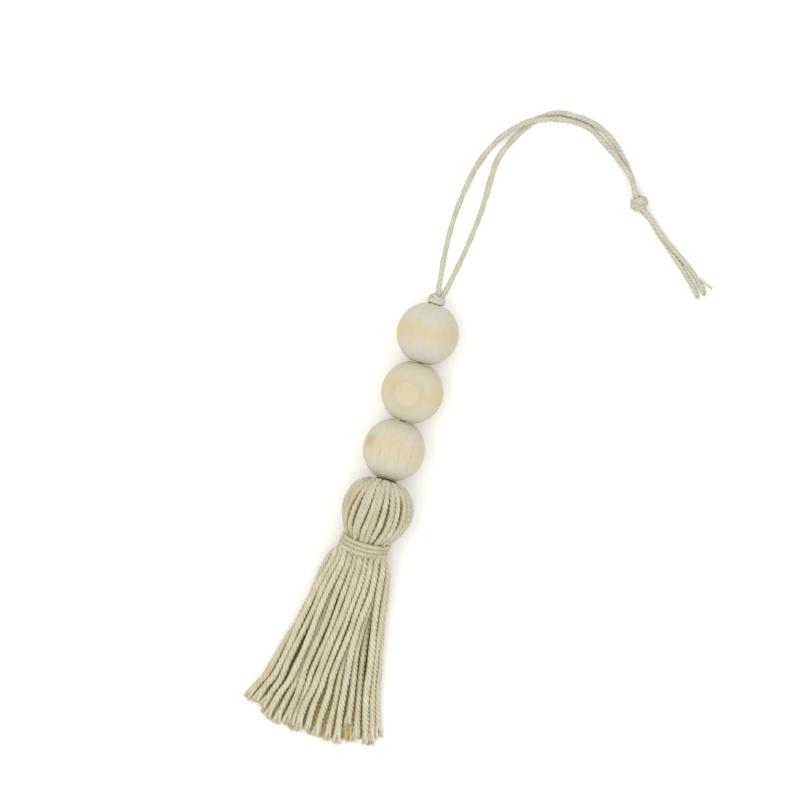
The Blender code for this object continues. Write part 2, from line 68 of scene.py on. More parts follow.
camera_data = bpy.data.cameras.new("camera_above")
camera_data.lens = LENS
camera_data.sensor_width = SENSOR
camera_data.dof.use_dof = False
camera = placed("camera_above", camera_data)
camera.location = (*PICTURE_CENTRE, FOCUS_HEIGHT + PICTURE_WIDTH * LENS / SENSOR)
camera.rotation_euler = (0.0, 0.0, PICTURE_TURN)
camera_data.clip_end = 20.0
bpy.context.scene.camera = camera
print("camera height, m:", round(camera.location.z, 3))

# %% [markdown]
# ## Smooth curves from short tables
# Every cord follows a smooth curve through a few places. A table of values is read as a cubic curve, and a
# path is then cut into even steps. Both work on whole arrays at once.

# %% Smooth tables and even steps
CURVE_SAMPLES = 1500


def smooth_rows(rows, at):
    """Reads columns of a table as smooth curves of its first column.

    Between two rows each value is the cubic that meets both rows' values and slopes, and a row's slope is the
    mean slope of its neighbours.
    """
    table = np.array(rows, dtype=float)
    knots, values = table[:, 0], table[:, 1:]
    slopes = np.gradient(values, knots, axis=0)
    at = np.clip(np.atleast_1d(at), knots[0], knots[-1])
    left = np.clip(np.searchsorted(knots, at, side="right") - 1, 0, len(knots) - 2)
    span = (knots[left + 1] - knots[left])[:, None]
    step = (at - knots[left])[:, None] / span
    return (
        (2 * step**3 - 3 * step**2 + 1) * values[left]
        + (step**3 - 2 * step**2 + step) * span * slopes[left]
        + (3 * step**2 - 2 * step**3) * values[left + 1]
        + (step**3 - step**2) * span * slopes[left + 1]
    )


def travelled(path):
    """Distance along a path at each of its points."""
    return np.concatenate([[0.0], np.cumsum(np.linalg.norm(np.diff(path, axis=0), axis=1))])


def evened(path, step):
    """The same path with points an even step apart, read off along its length."""
    gone = travelled(path)
    wanted = np.linspace(0.0, gone[-1], max(3, round(gone[-1] / step) + 1))
    return np.stack([np.interp(wanted, gone, path[:, k]) for k in range(path.shape[1])], axis=1)


def smooth_path(places, step):
    """An even path along the smooth curve through some places."""
    places = np.array(places, dtype=float)
    rows = np.column_stack([travelled(places), places])
    return evened(smooth_rows(rows, np.linspace(0.0, rows[-1, 0], CURVE_SAMPLES)), step)


def unit(vectors):
    """Vectors of the same direction and length 1."""
    return vectors / np.maximum(np.linalg.norm(vectors, axis=-1, keepdims=True), 1e-12)


# %% [markdown]
# ## Twisted cord
# A cotton cord is three yarns laid round each other. One closed surface is enough to show them: its section
# has three rounded lobes, and the section turns as it travels along the path. The grid of points turns with
# it, so each yarn's crest runs along one line of the grid and stays crisp with few faces.

# %% Cord surface
YARNS = 3
TASSEL_LAY = 4.9 * MM
AROUND = 18
GROOVE, GROOVE_SHARPNESS = 0.27, 1.3
RING_STEP = 0.45 * MM
# No cord is twisted quite evenly: the turn wanders by two slow waves, each with its size and its length.
WANDERS = ((0.35, 2.3 * MM), (0.25, 1.1 * MM))


def section_frame(path, outward, around):
    """Sideways and outward directions at each point of a path, distances along it, and angles round it."""
    tangent = unit(np.gradient(path, axis=0))
    side = unit(np.cross(tangent, np.broadcast_to(outward, path.shape)))
    angle = np.linspace(0.0, 2 * math.pi, around, endpoint=False)
    return side[:, None, :], np.cross(side, tangent)[:, None, :], travelled(path), angle


def cord_grid(path, radius, lay, outward=UP, start_turn=0.0, squash=1.0, groove=GROOVE, around=AROUND):
    """Grid of points on a twisted cord, with its distances along and round and how much it faces outward.

    At distance s along the path and angle a round it, the distance from the centre line is
    radius * (1 - groove * (1 - |cos(1.5 a)|) ** sharpness), and the whole section is turned by
    start_turn + 2 pi s / lay and the wanders. squash narrows the section sideways, square to outward.
    """
    side, lift, gone, angle = section_frame(path, outward, around)
    dips = (1.0 - np.abs(np.cos(0.5 * YARNS * angle))) ** GROOVE_SHARPNESS
    lobes = 1.0 - np.broadcast_to(groove, gone.shape)[:, None] * dips
    reach = np.broadcast_to(radius, gone.shape)[:, None] * lobes
    (slow, slow_wave), (quick, quick_wave) = WANDERS
    far = gone[:, None]
    uneven = slow * np.sin(far / slow_wave) + quick * np.sin(far / quick_wave + start_turn)
    turned = angle + start_turn + 2 * math.pi * far / lay + uneven
    sideways = np.broadcast_to(squash, gone.shape)[:, None] * reach * np.cos(turned)
    points = path[:, None, :] + sideways[..., None] * side + (reach * np.sin(turned))[..., None] * lift
    return points, gone, turned * np.mean(radius), np.sin(turned)


def plain_grid(path, radius, outward=UP, around=6):
    """Grid of points on a plain round thread: at each point of the path, a circle of the radius there."""
    side, lift, gone, angle = section_frame(path, outward, around)
    sideways, upward = (np.broadcast_to(radius, gone.shape)[:, None, None] * part[None, :, None]
                        for part in (np.cos(angle), np.sin(angle)))
    points = path[:, None, :] + sideways * side + upward * lift
    across = np.broadcast_to(angle * np.mean(radius), points.shape[:2])
    return points, gone, across, np.ones(points.shape[:2])


# %% [markdown]
# ## From arrays to a mesh
# A mesh is a list of places and, for every face, the numbers of its corners. Both are ready as arrays, so
# they are handed over whole. That is far quicker than adding one point after another.


# %% Mesh from arrays
def filled_mesh(name, points, corners, sides):
    """A smooth mesh from its points, the corners of all faces in one row, and each face's number of sides."""
    mesh = bpy.data.meshes.new(name)
    mesh.vertices.add(len(points))
    mesh.vertices.foreach_set("co", points.ravel())
    mesh.loops.add(len(corners))
    mesh.loops.foreach_set("vertex_index", corners)
    mesh.polygons.add(len(sides))
    mesh.polygons.foreach_set("loop_start", np.concatenate([[0], np.cumsum(sides)[:-1]]))
    mesh.polygons.foreach_set("use_smooth", np.ones(len(sides), dtype=bool))
    mesh.update(calc_edges=True)
    return mesh


# %% [markdown]
# ## Closed tubes
# Each grid becomes a closed tube: four-sided faces between its rings, and a fan of triangles over each end.
# Every tube also carries two patterns' coordinates in millimetres. "lay" counts round the cord with the
# yarns and along it, and "fibre" runs straight along the cord, as the fibres on a twisted cord do. Two more
# values tell the cords apart ("tone") and the open side from the side that other cords hide ("facing"),
# where the finish paints shade.

# %% Tubes from grids
PATTERN_SHIFT = 37.0
GOLDEN_SHARE = 0.618034


def tube_mesh(name, grids):
    """One mesh of many closed tubes.

    Corners: for ring i and place a, the face joins (i, a), (i+1, a), (i+1, a+1), (i, a+1), so it faces
    outwards. Each end gets one middle point, the mean of its ring, and a triangle to each side of the ring.
    A point below the table moves up to it: height = max(height, 0).
    """
    points, quads, fans, quad_uv, fan_uv, tones, facings = [], [], [], [], [], [], []
    base = 0
    for number, (grid, gone, across, facing) in enumerate(grids):
        rings, around = grid.shape[:2]
        index = base + np.arange(rings * around).reshape(rings, around)
        beside = np.roll(index, -1, axis=1)
        quads.append(np.stack([index[:-1], index[1:], beside[1:], beside[:-1]], axis=-1).reshape(-1, 4))
        first, last = base + rings * around, base + rings * around + 1
        fans.append(np.stack([np.full(around, first), index[0], beside[0]], axis=-1))
        fans.append(np.stack([np.full(around, last), beside[-1], index[-1]], axis=-1))
        points.append(np.concatenate([grid.reshape(-1, 3), grid[0].mean(0)[None], grid[-1].mean(0)[None]]))

        along = gone / MM + PATTERN_SHIFT * number
        place = np.arange(around + 1) / around
        width = (across[:, :1] + place * around * (across[:, 1:2] - across[:, :1])) / MM
        lay = np.stack(np.broadcast_arrays(place[None, :], along[:, None]), axis=-1)
        fibre = np.stack(np.broadcast_arrays(width, along[:, None]), axis=-1)
        both = np.concatenate([lay, fibre], axis=-1)
        quad_uv.append(
            np.stack([both[:-1, :-1], both[1:, :-1], both[1:, 1:], both[:-1, 1:]], axis=2).reshape(-1, 4)
        )
        for ring, step in ((both[0], 1), (both[-1], -1)):
            middle = np.broadcast_to(ring.mean(0), ring[:-1].shape)
            fan_uv.append(np.stack([middle, *(ring[:-1], ring[1:])[::step]], axis=1).reshape(-1, 4))
        tones.append(np.full(rings * around + 2, (number * GOLDEN_SHARE) % 1.0))
        facings.append(np.concatenate([facing.ravel(), (0.0, 0.0)]))
        base += rings * around + 2

    points = np.concatenate(points)
    points[:, 2] = np.maximum(points[:, 2], 0.0)
    quads, fans = np.concatenate(quads), np.concatenate(fans)
    corners = np.concatenate([quads.ravel(), fans.ravel()])
    mesh = filled_mesh(name, points, corners, np.repeat([4, 3], [len(quads), len(fans)]))
    uv = np.concatenate(quad_uv + fan_uv)
    for layer, columns in (("lay", uv[:, :2]), ("fibre", uv[:, 2:])):
        mesh.uv_layers.new(name=layer).data.foreach_set("uv", columns.ravel())
    for kind, values in (("tone", tones), ("facing", facings)):
        mesh.attributes.new(kind, "FLOAT", "POINT").data.foreach_set("value", np.concatenate(values))
    mesh.validate()
    return mesh


# %% [markdown]
# ## Pieces
# A finished mesh becomes an object of its own. It gets its finish, rides on the body of the tassel that
# carries it, and hides the plain solid that it stands for, so that it moves with that body and shows in the
# solid's place.


# %% Adding a piece
def add_piece(name, mesh, finish, node=None, body="tassel_and_cord"):
    """Puts a mesh in the scene as a piece that rides on a body and stands for a plain solid's node."""
    made = placed(name, mesh)
    mesh.materials.append(finish)
    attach(made, body)
    if node:
        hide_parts(node)
    print(f"{name}: {sum(len(p.vertices) - 2 for p in mesh.polygons)} triangles")
    return made


# %% [markdown]
# ## Nodes and colours
# A finish is a small graph of nodes. One function adds a node with its settings and its inputs, and one
# turns the hex colours that designers write into the linear values that the renderer adds up.


# %% Node and colour helpers
def linear(hex_colour):
    """An sRGB hex colour as linear red, green, blue and 1: ((c + 0.055) / 1.055) ** 2.4 above the toe."""
    parts = [int(hex_colour[k : k + 2], 16) / 255 for k in (1, 3, 5)]
    return (*(c / 12.92 if c <= 0.04045 else ((c + 0.055) / 1.055) ** 2.4 for c in parts), 1.0)


def add_node(tree, kind, inputs=None, **settings):
    """Adds a shader node with its settings, and fills its sockets.

    A socket takes a plain value, another node's output, or a node, which stands for its first output in use.
    """
    node = tree.nodes.new("ShaderNode" + kind)
    for key, value in settings.items():
        setattr(node, key, value)
    for key, value in (inputs or {}).items():
        if isinstance(value, bpy.types.Node):
            value = next(output for output in value.outputs if output.enabled)
        if isinstance(value, bpy.types.NodeSocket):
            tree.links.new(value, node.inputs[key])
        else:
            node.inputs[key].default_value = value
    return node


def new_finish(name, **sockets):
    """A material with one Principled shader, whose plain values are set on its own sockets."""
    finish = bpy.data.materials.new(name)
    finish.use_nodes = True
    shader = finish.node_tree.nodes["Principled BSDF"]
    for key, value in sockets.items():
        shader.inputs[key.replace("_", " ")].default_value = value
    return finish, finish.node_tree, shader


# %% [markdown]
# ## Undyed twisted cotton
# Cotton cord is spun from short fibres, so it is dull, slightly fuzzy and never one colour: cream where the
# light falls on a yarn. The finish paints shade in two places: olive in the groove between two yarns, and
# browner between the cords, where light only arrives after it has touched other cords. The fibres on the
# surface run almost straight along the cord.
# Real fibres are 0.02 mm thick, too fine to see, so they are drawn about 0.15 mm wide. The fluff that stands
# off the cords gives their sides a faint warm sheen.

# %% Cotton finish
FIBRES_PER_MM = (6.0, 0.55, 1.0)
PATCHES_PER_MM = 0.22


def cotton_finish(name, *colours):
    """Cotton yarn in four colours: two fibre tones mixed at random, and painted shade in the groove and
    between cords.

    u counts whole turns round the cord, so |cos(pi YARNS u)| is 1 on a yarn's crest and 0 in a groove.
    """
    finish, tree, shader = new_finish(name, Roughness=0.92, Specular_IOR_Level=0.2, Sheen_Weight=0.25,
                                      Sheen_Roughness=0.5, Sheen_Tint=(1.0, 0.8, 0.4, 1.0))
    light, shade, groove_shade_colour, between = (linear(colour) for colour in colours)
    lay = add_node(tree, "UVMap", uv_map="lay")
    around = add_node(tree, "SeparateXYZ", {"Vector": lay})
    turned = add_node(tree, "Math", {0: around.outputs["X"], 1: math.pi * YARNS}, operation="MULTIPLY")
    wave = add_node(tree, "Math", {0: turned}, operation="COSINE")
    crest = add_node(tree, "Math", {0: wave}, operation="ABSOLUTE")
    # Painted shade: the groove between two yarns turns to the groove colour.
    groove_shade_mask = add_node(tree, "MapRange", {"Value": crest, "From Max": 0.42, "To Min": 1.0, "To Max": 0.0})

    fibre = add_node(tree, "UVMap", uv_map="fibre")
    stretched = add_node(tree, "Mapping", {"Vector": fibre, "Scale": FIBRES_PER_MM})
    streaks = add_node(tree, "TexNoise", {"Vector": stretched, "Scale": 1.0, "Detail": 3.0, "Roughness": 0.6},
                       noise_dimensions="2D")
    patches = add_node(tree, "TexNoise", {"Vector": fibre, "Scale": PATCHES_PER_MM, "Detail": 2.0},
                       noise_dimensions="2D")
    mottled = add_node(tree, "Math", {0: streaks, 1: patches}, operation="ADD")
    tone = add_node(tree, "Attribute", attribute_name="tone")
    toned = add_node(tree, "Math", {0: tone.outputs["Fac"], 1: 0.5, 2: mottled}, operation="MULTIPLY_ADD")
    lightness = add_node(tree, "MapRange", {"Value": toned, "From Min": 0.75, "From Max": 1.75})

    # Painted shade: a point that faces down or that other cords close in turns towards the colour between
    # cords.
    facing = add_node(tree, "Attribute", attribute_name="facing")
    hidden = add_node(tree, "MapRange", {
        "Value": facing.outputs["Fac"], "From Min": -0.1, "From Max": 0.65, "To Min": 0.85, "To Max": 0.0,
    }, interpolation_type="SMOOTHSTEP")
    body = add_node(tree, "Mix", {"Factor": lightness, "A": shade, "B": light}, data_type="RGBA")
    grooved = add_node(tree, "Mix", {"Factor": groove_shade_mask, "A": body, "B": groove_shade_colour}, data_type="RGBA")
    between_shaded = add_node(tree, "Mix", {"Factor": hidden, "A": grooved, "B": between}, data_type="RGBA")
    tree.links.new(between_shaded.outputs["Result"], shader.inputs["Base Color"])
    bump = add_node(tree, "Bump", {"Height": streaks, "Strength": 0.6, "Distance": 0.12 * MM})
    tree.links.new(bump.outputs["Normal"], shader.inputs["Normal"])
    return finish


# In each cotton finish the third colour is painted shade in the groove and the fourth is painted shade
# between cords.
tassel_cotton = cotton_finish("undyed_twisted_cotton", "#d5d1bd", "#c5c0a5", "#b4a883", "#beb58e")
# Painted shade: a warmer, more saturated copy of the cotton for the lower cords and the head's inner ball,
# which lie mostly in shade.
inner_cotton_painted_shade = cotton_finish("undyed_twisted_cotton_inside_painted_shade", "#d2c7a0", "#c5b689", "#ac9960", "#d4c284")
shaded_cotton = cotton_finish("undyed_twisted_cotton_shaded", "#6e5e3a", "#5c4d2e", "#483b20", "#483b20")
# Painted shade: the head and the wrap get a slightly darker copy of the cotton, because their tops catch more
# of the light from above.
head_cotton_painted_shade = cotton_finish("undyed_twisted_cotton_head_painted_shade", "#cfcbb7", "#beb99f", "#bab290", "#b9a45a")
cord_cotton = cotton_finish("undyed_cotton_cord", "#d5d4c8", "#c4c1b0", "#b0a98e", "#bab496")
print("finishes:", tassel_cotton.name, cord_cotton.name)

# %% [markdown]
# ## The free cord
# The hanging cord leaves its base knot double. Both strands arch over, one crossing above the other, and an
# overhand knot joins them again. Two short tails end cut and slightly frayed. A rope simulation would find
# a new shape on each run, so each limp 2 mm cord follows a written route, the same as its plain solid.

# %% Free cord
CORD_RADIUS = 0.9 * MM
TAIL_RADIUS = 0.83 * MM
CORD_LAY = 4.4 * MM
CORD_STEP = 0.42 * MM
# A soft cord is thicker here and thinner there: two slow waves, each with its size and its length.
CORD_SWELLS = ((0.06, 9.3 * MM), (0.05, 5.1 * MM))
LOOP_OUTER_ROUTE = (
    (-0.05, 71.1, 10.5), (-0.65, 73.6, 10.3), (-1.15, 78.0, 9.8), (-1.9, 84.8, 9.0), (-2.3, 92.0, 7.4),
    (-2.2, 99.0, 5.3), (-1.4, 107.4, 2.7), (0.1, 115.2, 1.25), (3.35, 123.4, 1.05), (8.6, 130.3, 2.5),
    (12.1, 133.2, 3.2), (16.0, 135.1, 3.1), (20.65, 136.6, 2.0), (26.05, 137.3, 1.0), (31.4, 136.6, 0.95),
    (36.65, 133.75, 1.0), (40.7, 131.0, 2.0), (44.5, 128.25, 3.1), (48.5, 124.75, 3.7), (51.25, 120.5, 4.15),
    (52.3, 118.9, 3.6),
)
LOOP_INNER_ROUTE = (
    (0.80, 71.2, 9.9), (1.70, 73.8, 9.9), (2.6, 78.6, 9.7), (3.65, 84.5, 8.9), (4.6, 92.2, 7.1),
    (5.3, 98.9, 5.0), (5.6, 105.0, 3.0), (5.5, 112.0, 1.5), (5.9, 119.0, 0.95), (8.2, 125.2, 0.95),
    (12.0, 131.6, 0.95), (16.0, 136.25, 0.95), (20.0, 138.5, 0.95), (25.2, 139.1, 0.95), (30.6, 138.8, 0.95),
    (35.4, 137.4, 0.95), (39.45, 135.05, 0.95), (42.95, 131.95, 0.95), (45.85, 128.7, 1.0),
    (48.8, 124.8, 1.4), (51.25, 120.5, 1.85), (52.3, 118.9, 2.4),
)
TAIL_LEFT_ROUTE = (
    (53.9, 117.1, 2.4), (55.3, 115.85, 1.7), (57.9, 114.15, 1.1), (60.2, 112.1, 0.9), (62.35, 110.1, 0.85),
    (64.65, 108.2, 0.85), (66.9, 106.2, 0.85), (69.25, 104.3, 0.85), (71.5, 102.35, 0.85),
    (73.7, 100.35, 0.85), (76.0, 98.3, 0.85), (78.05, 96.2, 0.85), (79.3, 94.8, 0.85),
)
TAIL_RIGHT_ROUTE = (
    (53.9, 117.1, 3.6), (55.4, 116.05, 3.4), (58.05, 114.35, 2.8), (60.4, 112.4, 2.5), (62.7, 110.5, 2.4),
    (65.1, 108.7, 2.3), (67.65, 107.1, 1.8), (70.2, 105.45, 1.2), (72.75, 103.85, 0.85), (75.3, 102.0, 0.85),
    (77.7, 99.95, 0.85), (79.75, 98.0, 0.85), (81.2, 96.4, 0.85),
)


def cord_path(route):
    """The even centre line of a free cord through its written places."""
    return smooth_path(np.array(route) * MM, CORD_STEP)


def free_cord(name, route, node, radius=CORD_RADIUS):
    """A free length of cord along its route, with its own length printed."""
    path = cord_path(route)
    gone = travelled(path)
    swell = 1.0
    for size, wave in CORD_SWELLS:
        swell = swell + size * np.sin(2 * math.pi * gone / wave)
    grid = cord_grid(path, radius * swell, CORD_LAY)
    made = add_piece(name, tube_mesh(name, [grid]), cord_cotton, node)
    print(f"{name}: {gone[-1] / MM:.1f} mm long")


# %% [markdown]
# ## Knots
# Each knot is the same cord wound tightly round itself. Tying it as one long curve would need many places
# that never show. So it is made of wound paths, coils whose radius changes from end to end, with strands
# through the middle. The small knot on the top bead is a leaning cone. The knot that closes the loop is a
# plump barrel, with one turn crossing over the others.

# %% Knots
COIL_SAMPLES = 900
KNOT_GROOVE = 0.2


def coil_path(start, heading, length, turns, radius, first_angle):
    """A path wound round an axis, from places and lengths in mm.

    The axis runs from start along heading. At share s of the way the path stands at angle
    first_angle + 2 pi turns s and at the distance that the radius table gives for s.
    """
    heading = unit(np.array(heading, dtype=float))
    across = unit(np.cross(heading, UP))
    over = np.cross(across, heading)
    share = np.linspace(0.0, 1.0, COIL_SAMPLES)
    angle = first_angle + 2 * math.pi * turns * share
    reach = smooth_rows(radius, share)[:, 0]
    wound = (
        np.array(start)
        + (length * share)[:, None] * heading
        + (reach * np.cos(angle))[:, None] * across
        + (reach * np.sin(angle))[:, None] * over
    )
    return evened(wound * MM, CORD_STEP)


def wound_grid(path, radius, lay=CORD_LAY, groove=GROOVE):
    """Twisted cord on a wound path, with a radius in mm. Outward is the way from the middle of the coil."""
    return cord_grid(path, radius * MM, lay, outward=unit(path - path.mean(0)), groove=groove)


def knot_piece(name, grids, node):
    """A knot of cotton cord that stands for a plain solid knot."""
    return add_piece(name, tube_mesh(name, grids), cord_cotton, node)


# Knot on the top bead: the coil leans towards the loop, and the two strands leave through its narrow end.
coil = coil_path((-0.35, 69.55, 9.45), (0.10, 1.0, 0.42), 2.0, 2.1,
                 [(0.0, 1.75), (0.15, 2.05), (0.5, 1.90), (0.85, 1.50), (1.0, 1.1)], 2.6)
foot = coil_path((-0.35, 69.5, 9.87), (0.0, 1.0, 0.0), 0.35, 1.1, [(0.0, 1.9), (0.5, 2.0), (1.0, 1.8)], 0.4)
middle = cord_path([(-0.3, 68.9, 9.9), (-0.2, 70.4, 9.9), (0.1, 71.8, 9.9)])
knot_piece("base_knot_cord", [
    wound_grid(coil, 0.95), wound_grid(foot, 0.92), cord_grid(middle, 1.25 * MM, CORD_LAY)], "base_knot")

# Knot of the loop: a barrel of close turns lying on the table.
KNOT_LAY = 3.4 * MM
coil = coil_path((51.9, 119.35, 2.95), (0.652, -0.758, 0.0), 3.6, 3.2,
                 [(0.0, 0.7), (0.2, 1.70), (0.5, 2.10), (0.8, 1.75), (1.0, 0.7)], 2.9)
over = cord_path([(50.9, 117.9, 3.6), (51.9, 118.3, 5.0), (53.3, 118.6, 5.25), (54.4, 118.4, 4.4),
                  (54.8, 117.9, 3.2)])
through = [cord_path([(51.3, 120.1, z), (53.1, 118.0, 3.0), (55.0, 115.8, z)]) for z in (2.1, 3.9)]
end_knot = knot_piece("end_knot_cord", [
    wound_grid(coil, 0.98, KNOT_LAY, KNOT_GROOVE),
    cord_grid(over, 0.85 * MM, KNOT_LAY, groove=KNOT_GROOVE),
    *[cord_grid(path, 0.9 * MM, CORD_LAY) for path in through],
], "end_knot")


# %% [markdown]
# ## Centre line of the tassel
# Head, neck and skirt hang on one centre line. It dips from the middle of the ball to the table, as a soft
# tassel does when it is laid down. Places are given as a reach from the ball's centre towards the skirt, and
# a sideways and an upward distance in the section that stands square to the line.

# %% Centre line
HEAD_ALONG = 1.0 * MM
SPINE = (
    (-10.5, 0.15, 9.95), (0.0, 0.35, 10.75), (11.0, -0.5, 9.35), (16.0, -1.1, 8.55),
    (24.0, -0.8, 7.6), (37.0, -0.3, 6.8), (52.0, -0.4, 6.1), (76.0, -0.5, 5.5),
)


def on_spine(reach, sideways=0.0, upward=0.0):
    """Points from reach, sideways and upward distances in metres, one row for each."""
    nudge = 0.5
    centre = smooth_rows(SPINE, reach / MM)
    rise = smooth_rows(SPINE, reach / MM - nudge)[:, 1] - smooth_rows(SPINE, reach / MM + nudge)[:, 1]
    lean = np.arctan2(rise, 2 * nudge)
    return np.stack([
        centre[:, 0] * MM + sideways,
        HEAD_ALONG - reach - upward * np.sin(lean),
        centre[:, 1] * MM + upward * np.cos(lean),
    ], axis=1)


def round_spine(reach, radius, longitude):
    """Points round the centre line at a radius, with longitude 0 on top and growing towards +X."""
    return on_spine(reach, radius * np.sin(longitude), radius * np.cos(longitude))


# %% [markdown]
# ## Head
# The head is the folded middle of the skirt's 32 cords. They run over an inner ball, from the hanging thread
# down to the neck, side by side at the widest place. At the top and at the neck there is no room for all of
# them on the surface, so every other one dives under its neighbours. The longitudes of the ten cords on the
# upper side are written down, and the others are spread evenly. A ball with carved grooves would be quicker
# to make, but it would miss the gaps and the small shadows that separate cords leave.

# %% Head
HEAD_CORDS = 32
LATITUDES = np.array((40.0, 20.0, 0.0, -20.0, -34.0))
UPPER_LONGITUDES = np.array((
    (-44.0, -51.3, -57.3, -64.0, -69.3), (-35.0, -38.4, -42.1, -45.8, -49.6),
    (-27.5, -26.2, -27.0, -29.4, -32.0), (-20.6, -19.5, -20.1, -24.3, -28.0), (-9.6, -8.5, -8.3, -9.9, -12.8),
    (-2.0, -1.0, -0.8, -0.4, -1.4), (7.0, 9.8, 11.6, 12.5, 12.0), (17.8, 22.1, 25.8, 28.0, 28.4),
    (28.2, 33.8, 36.7, 39.4, 40.4), (40.0, 50.0, 53.3, 54.7, 53.3),
))
# Reach from the ball's centre and radius, from the thread to under the wrap, in mm.
HEAD_COURSE = np.array((
    (-6.9, 2.75), (-8.1, 3.4), (-8.45, 4.6), (-8.25, 6.0), (-6.67, 7.95), (-3.55, 9.75), (0.0, 10.38),
    (3.55, 9.75), (5.8, 8.75), (7.4, 7.85), (8.8, 6.95), (10.2, 6.15), (12.4, 5.8),
))
TOP_DIVERS = (0, 2, 4, 7, *range(9, 32, 2))
NECK_DIVERS = (1, 3, 6, *range(8, 31, 2))
# The dives start at a latitude or a reach, and are complete some way further on.
TOP_DIVE, TOP_LATITUDE, TOP_WAY = 2.5, 38.0, 20.0
NECK_DIVE, NECK_REACH, NECK_WAY = 0.8, 5.0, 4.0
DIVE_UNEVENNESS = (0.7, 1.1)
NECK_SPREAD, LONGITUDE_UNEVENNESS = 1.3, 1.2
UPPER_THICK, HIDDEN_THICK, THINNER_AT_ENDS = 1.04, 1.06, 0.06
DRIFT, DRIFT_WAVE, PLACE_UNEVENNESS, HEAD_LOWEST = 0.12, 4.3, 0.08, 1.0
chance = np.random.default_rng(7)


def turned_at_random():
    """A random angle, or the start of a wave: any value in one whole turn."""
    return chance.uniform(0, 6.28)


def ramp(value, start, length):
    """0 up to a start, 1 from start + length on, and a straight line between."""
    return np.clip((value - start) / length, 0.0, 1.0)


def head_longitudes():
    """Longitude of each head cord at each latitude, in degrees: the written ones, then even steps."""
    first, last = UPPER_LONGITUDES[-1], UPPER_LONGITUDES[0] + 360.0
    hidden = HEAD_CORDS - len(UPPER_LONGITUDES)
    share = (np.arange(hidden) + 1.0)[:, None] / (hidden + 1.0)
    spread = first + share * (last - first) + chance.normal(0.0, LONGITUDE_UNEVENNESS, (hidden, 1))
    return np.concatenate([UPPER_LONGITUDES, spread])


# %% [markdown]
# ## Cords over the ball
# Every cord follows the same course from the thread to the neck, at its own longitude. The cords that dive
# sink towards the centre there, and at the neck each cord is squeezed to the room that is left for it.


# %% Head cords
def head_grids():
    """Twisted cords from pole to neck over the ball."""
    course_gone = travelled(HEAD_COURSE)
    at = np.linspace(0.0, course_gone[-1], 300)
    reach, radius = smooth_rows(np.column_stack([course_gone, HEAD_COURSE]), at).T
    latitude = np.degrees(np.arctan2(-reach, radius))
    room = np.where(reach > 0.0, np.minimum(NECK_SPREAD * math.pi * radius / HEAD_CORDS, 1.0), 1.0)
    grids = []
    for number, longitudes in enumerate(head_longitudes()):
        longitude = np.radians(np.interp(-latitude, -LATITUDES, longitudes))
        sink = 0.0
        for depth, way, divers in ((TOP_DIVE, ramp(latitude, TOP_LATITUDE, TOP_WAY), TOP_DIVERS),
                                   (NECK_DIVE, ramp(reach, NECK_REACH, NECK_WAY), NECK_DIVERS)):
            sink = sink + depth * chance.uniform(*DIVE_UNEVENNESS) * way * (number in divers)
        drift = DRIFT * np.sin(at / DRIFT_WAVE + turned_at_random()) + chance.normal(0.0, PLACE_UNEVENNESS)
        path = round_spine(reach * MM, (radius - sink + drift) * MM, longitude)
        path[:, 2] = np.maximum(path[:, 2], HEAD_LOWEST * MM)
        thick = UPPER_THICK if number < len(UPPER_LONGITUDES) else HIDDEN_THICK
        thick = thick - THINNER_AT_ENDS * ramp(np.abs(reach), NECK_REACH, NECK_WAY)
        path = evened(np.column_stack([path, thick * MM, room * MM]), RING_STEP)
        outward = unit(path[:, :3] - on_spine(np.zeros(1)))
        squash = path[:, 4] / MM
        grids.append(cord_grid(path[:, :3], path[:, 3], TASSEL_LAY, outward, turned_at_random(), squash))
    return grids


add_piece("head_cords", tube_mesh("head_cords", head_grids()), head_cotton_painted_shade, "tassel")

# %% [markdown]
# ## Inside of the head
# Between the cords one looks at the inner ball, and under the bead at the fold of the cords round the thread.
# Both are plain tubes on the centre line, because only a little of them shows, in shade. Their colour is
# painted shade: a warm cotton on the ball and a dark brown one on the fold.

# %% Core and fold of the head
# Reach from the ball's centre and radius, in mm.
CORE_ROWS = ((-8.3, 2.0), (-8.0, 3.9), (-6.0, 6.3), (-3.0, 8.2), (0.0, 8.8), (3.0, 8.3), (6.0, 6.8),
             (8.2, 5.0), (9.5, 4.5), (13.5, 4.4))
FOLD_ROWS = ((-10.15, 3.1), (-9.9, 3.4), (-8.0, 3.5), (-7.0, 3.0))
CORE_LOWEST = 0.9


def core_tube(rows, rings, around):
    """Plain tube on the centre line, from rows of reach and radius in mm."""
    reach, radius = np.array(rows).T
    along = np.linspace(reach[0], reach[-1], rings)
    return plain_grid(on_spine(along * MM), np.interp(along, reach, radius) * MM, around=around)


core_grid = core_tube(CORE_ROWS, 45, 40)
core_grid[0][..., 2] = np.maximum(core_grid[0][..., 2], CORE_LOWEST * MM)
add_piece("head_core", tube_mesh("head_core", [core_grid]), inner_cotton_painted_shade, "tassel")
fold_grid = core_tube(FOLD_ROWS, 12, 36)
add_piece("head_fold", tube_mesh("head_fold", [fold_grid]), shaded_cotton, "tassel")

# %% [markdown]
# ## Neck wrap
# A thinner cotton cord is wound three times round the neck and tucked under itself. The turns lie close, and
# they sit a little askew, with the right side nearer the beads. Three rings would show no beginning and no
# end, so the wrap is one helix, and its two ends bend inwards out of sight.

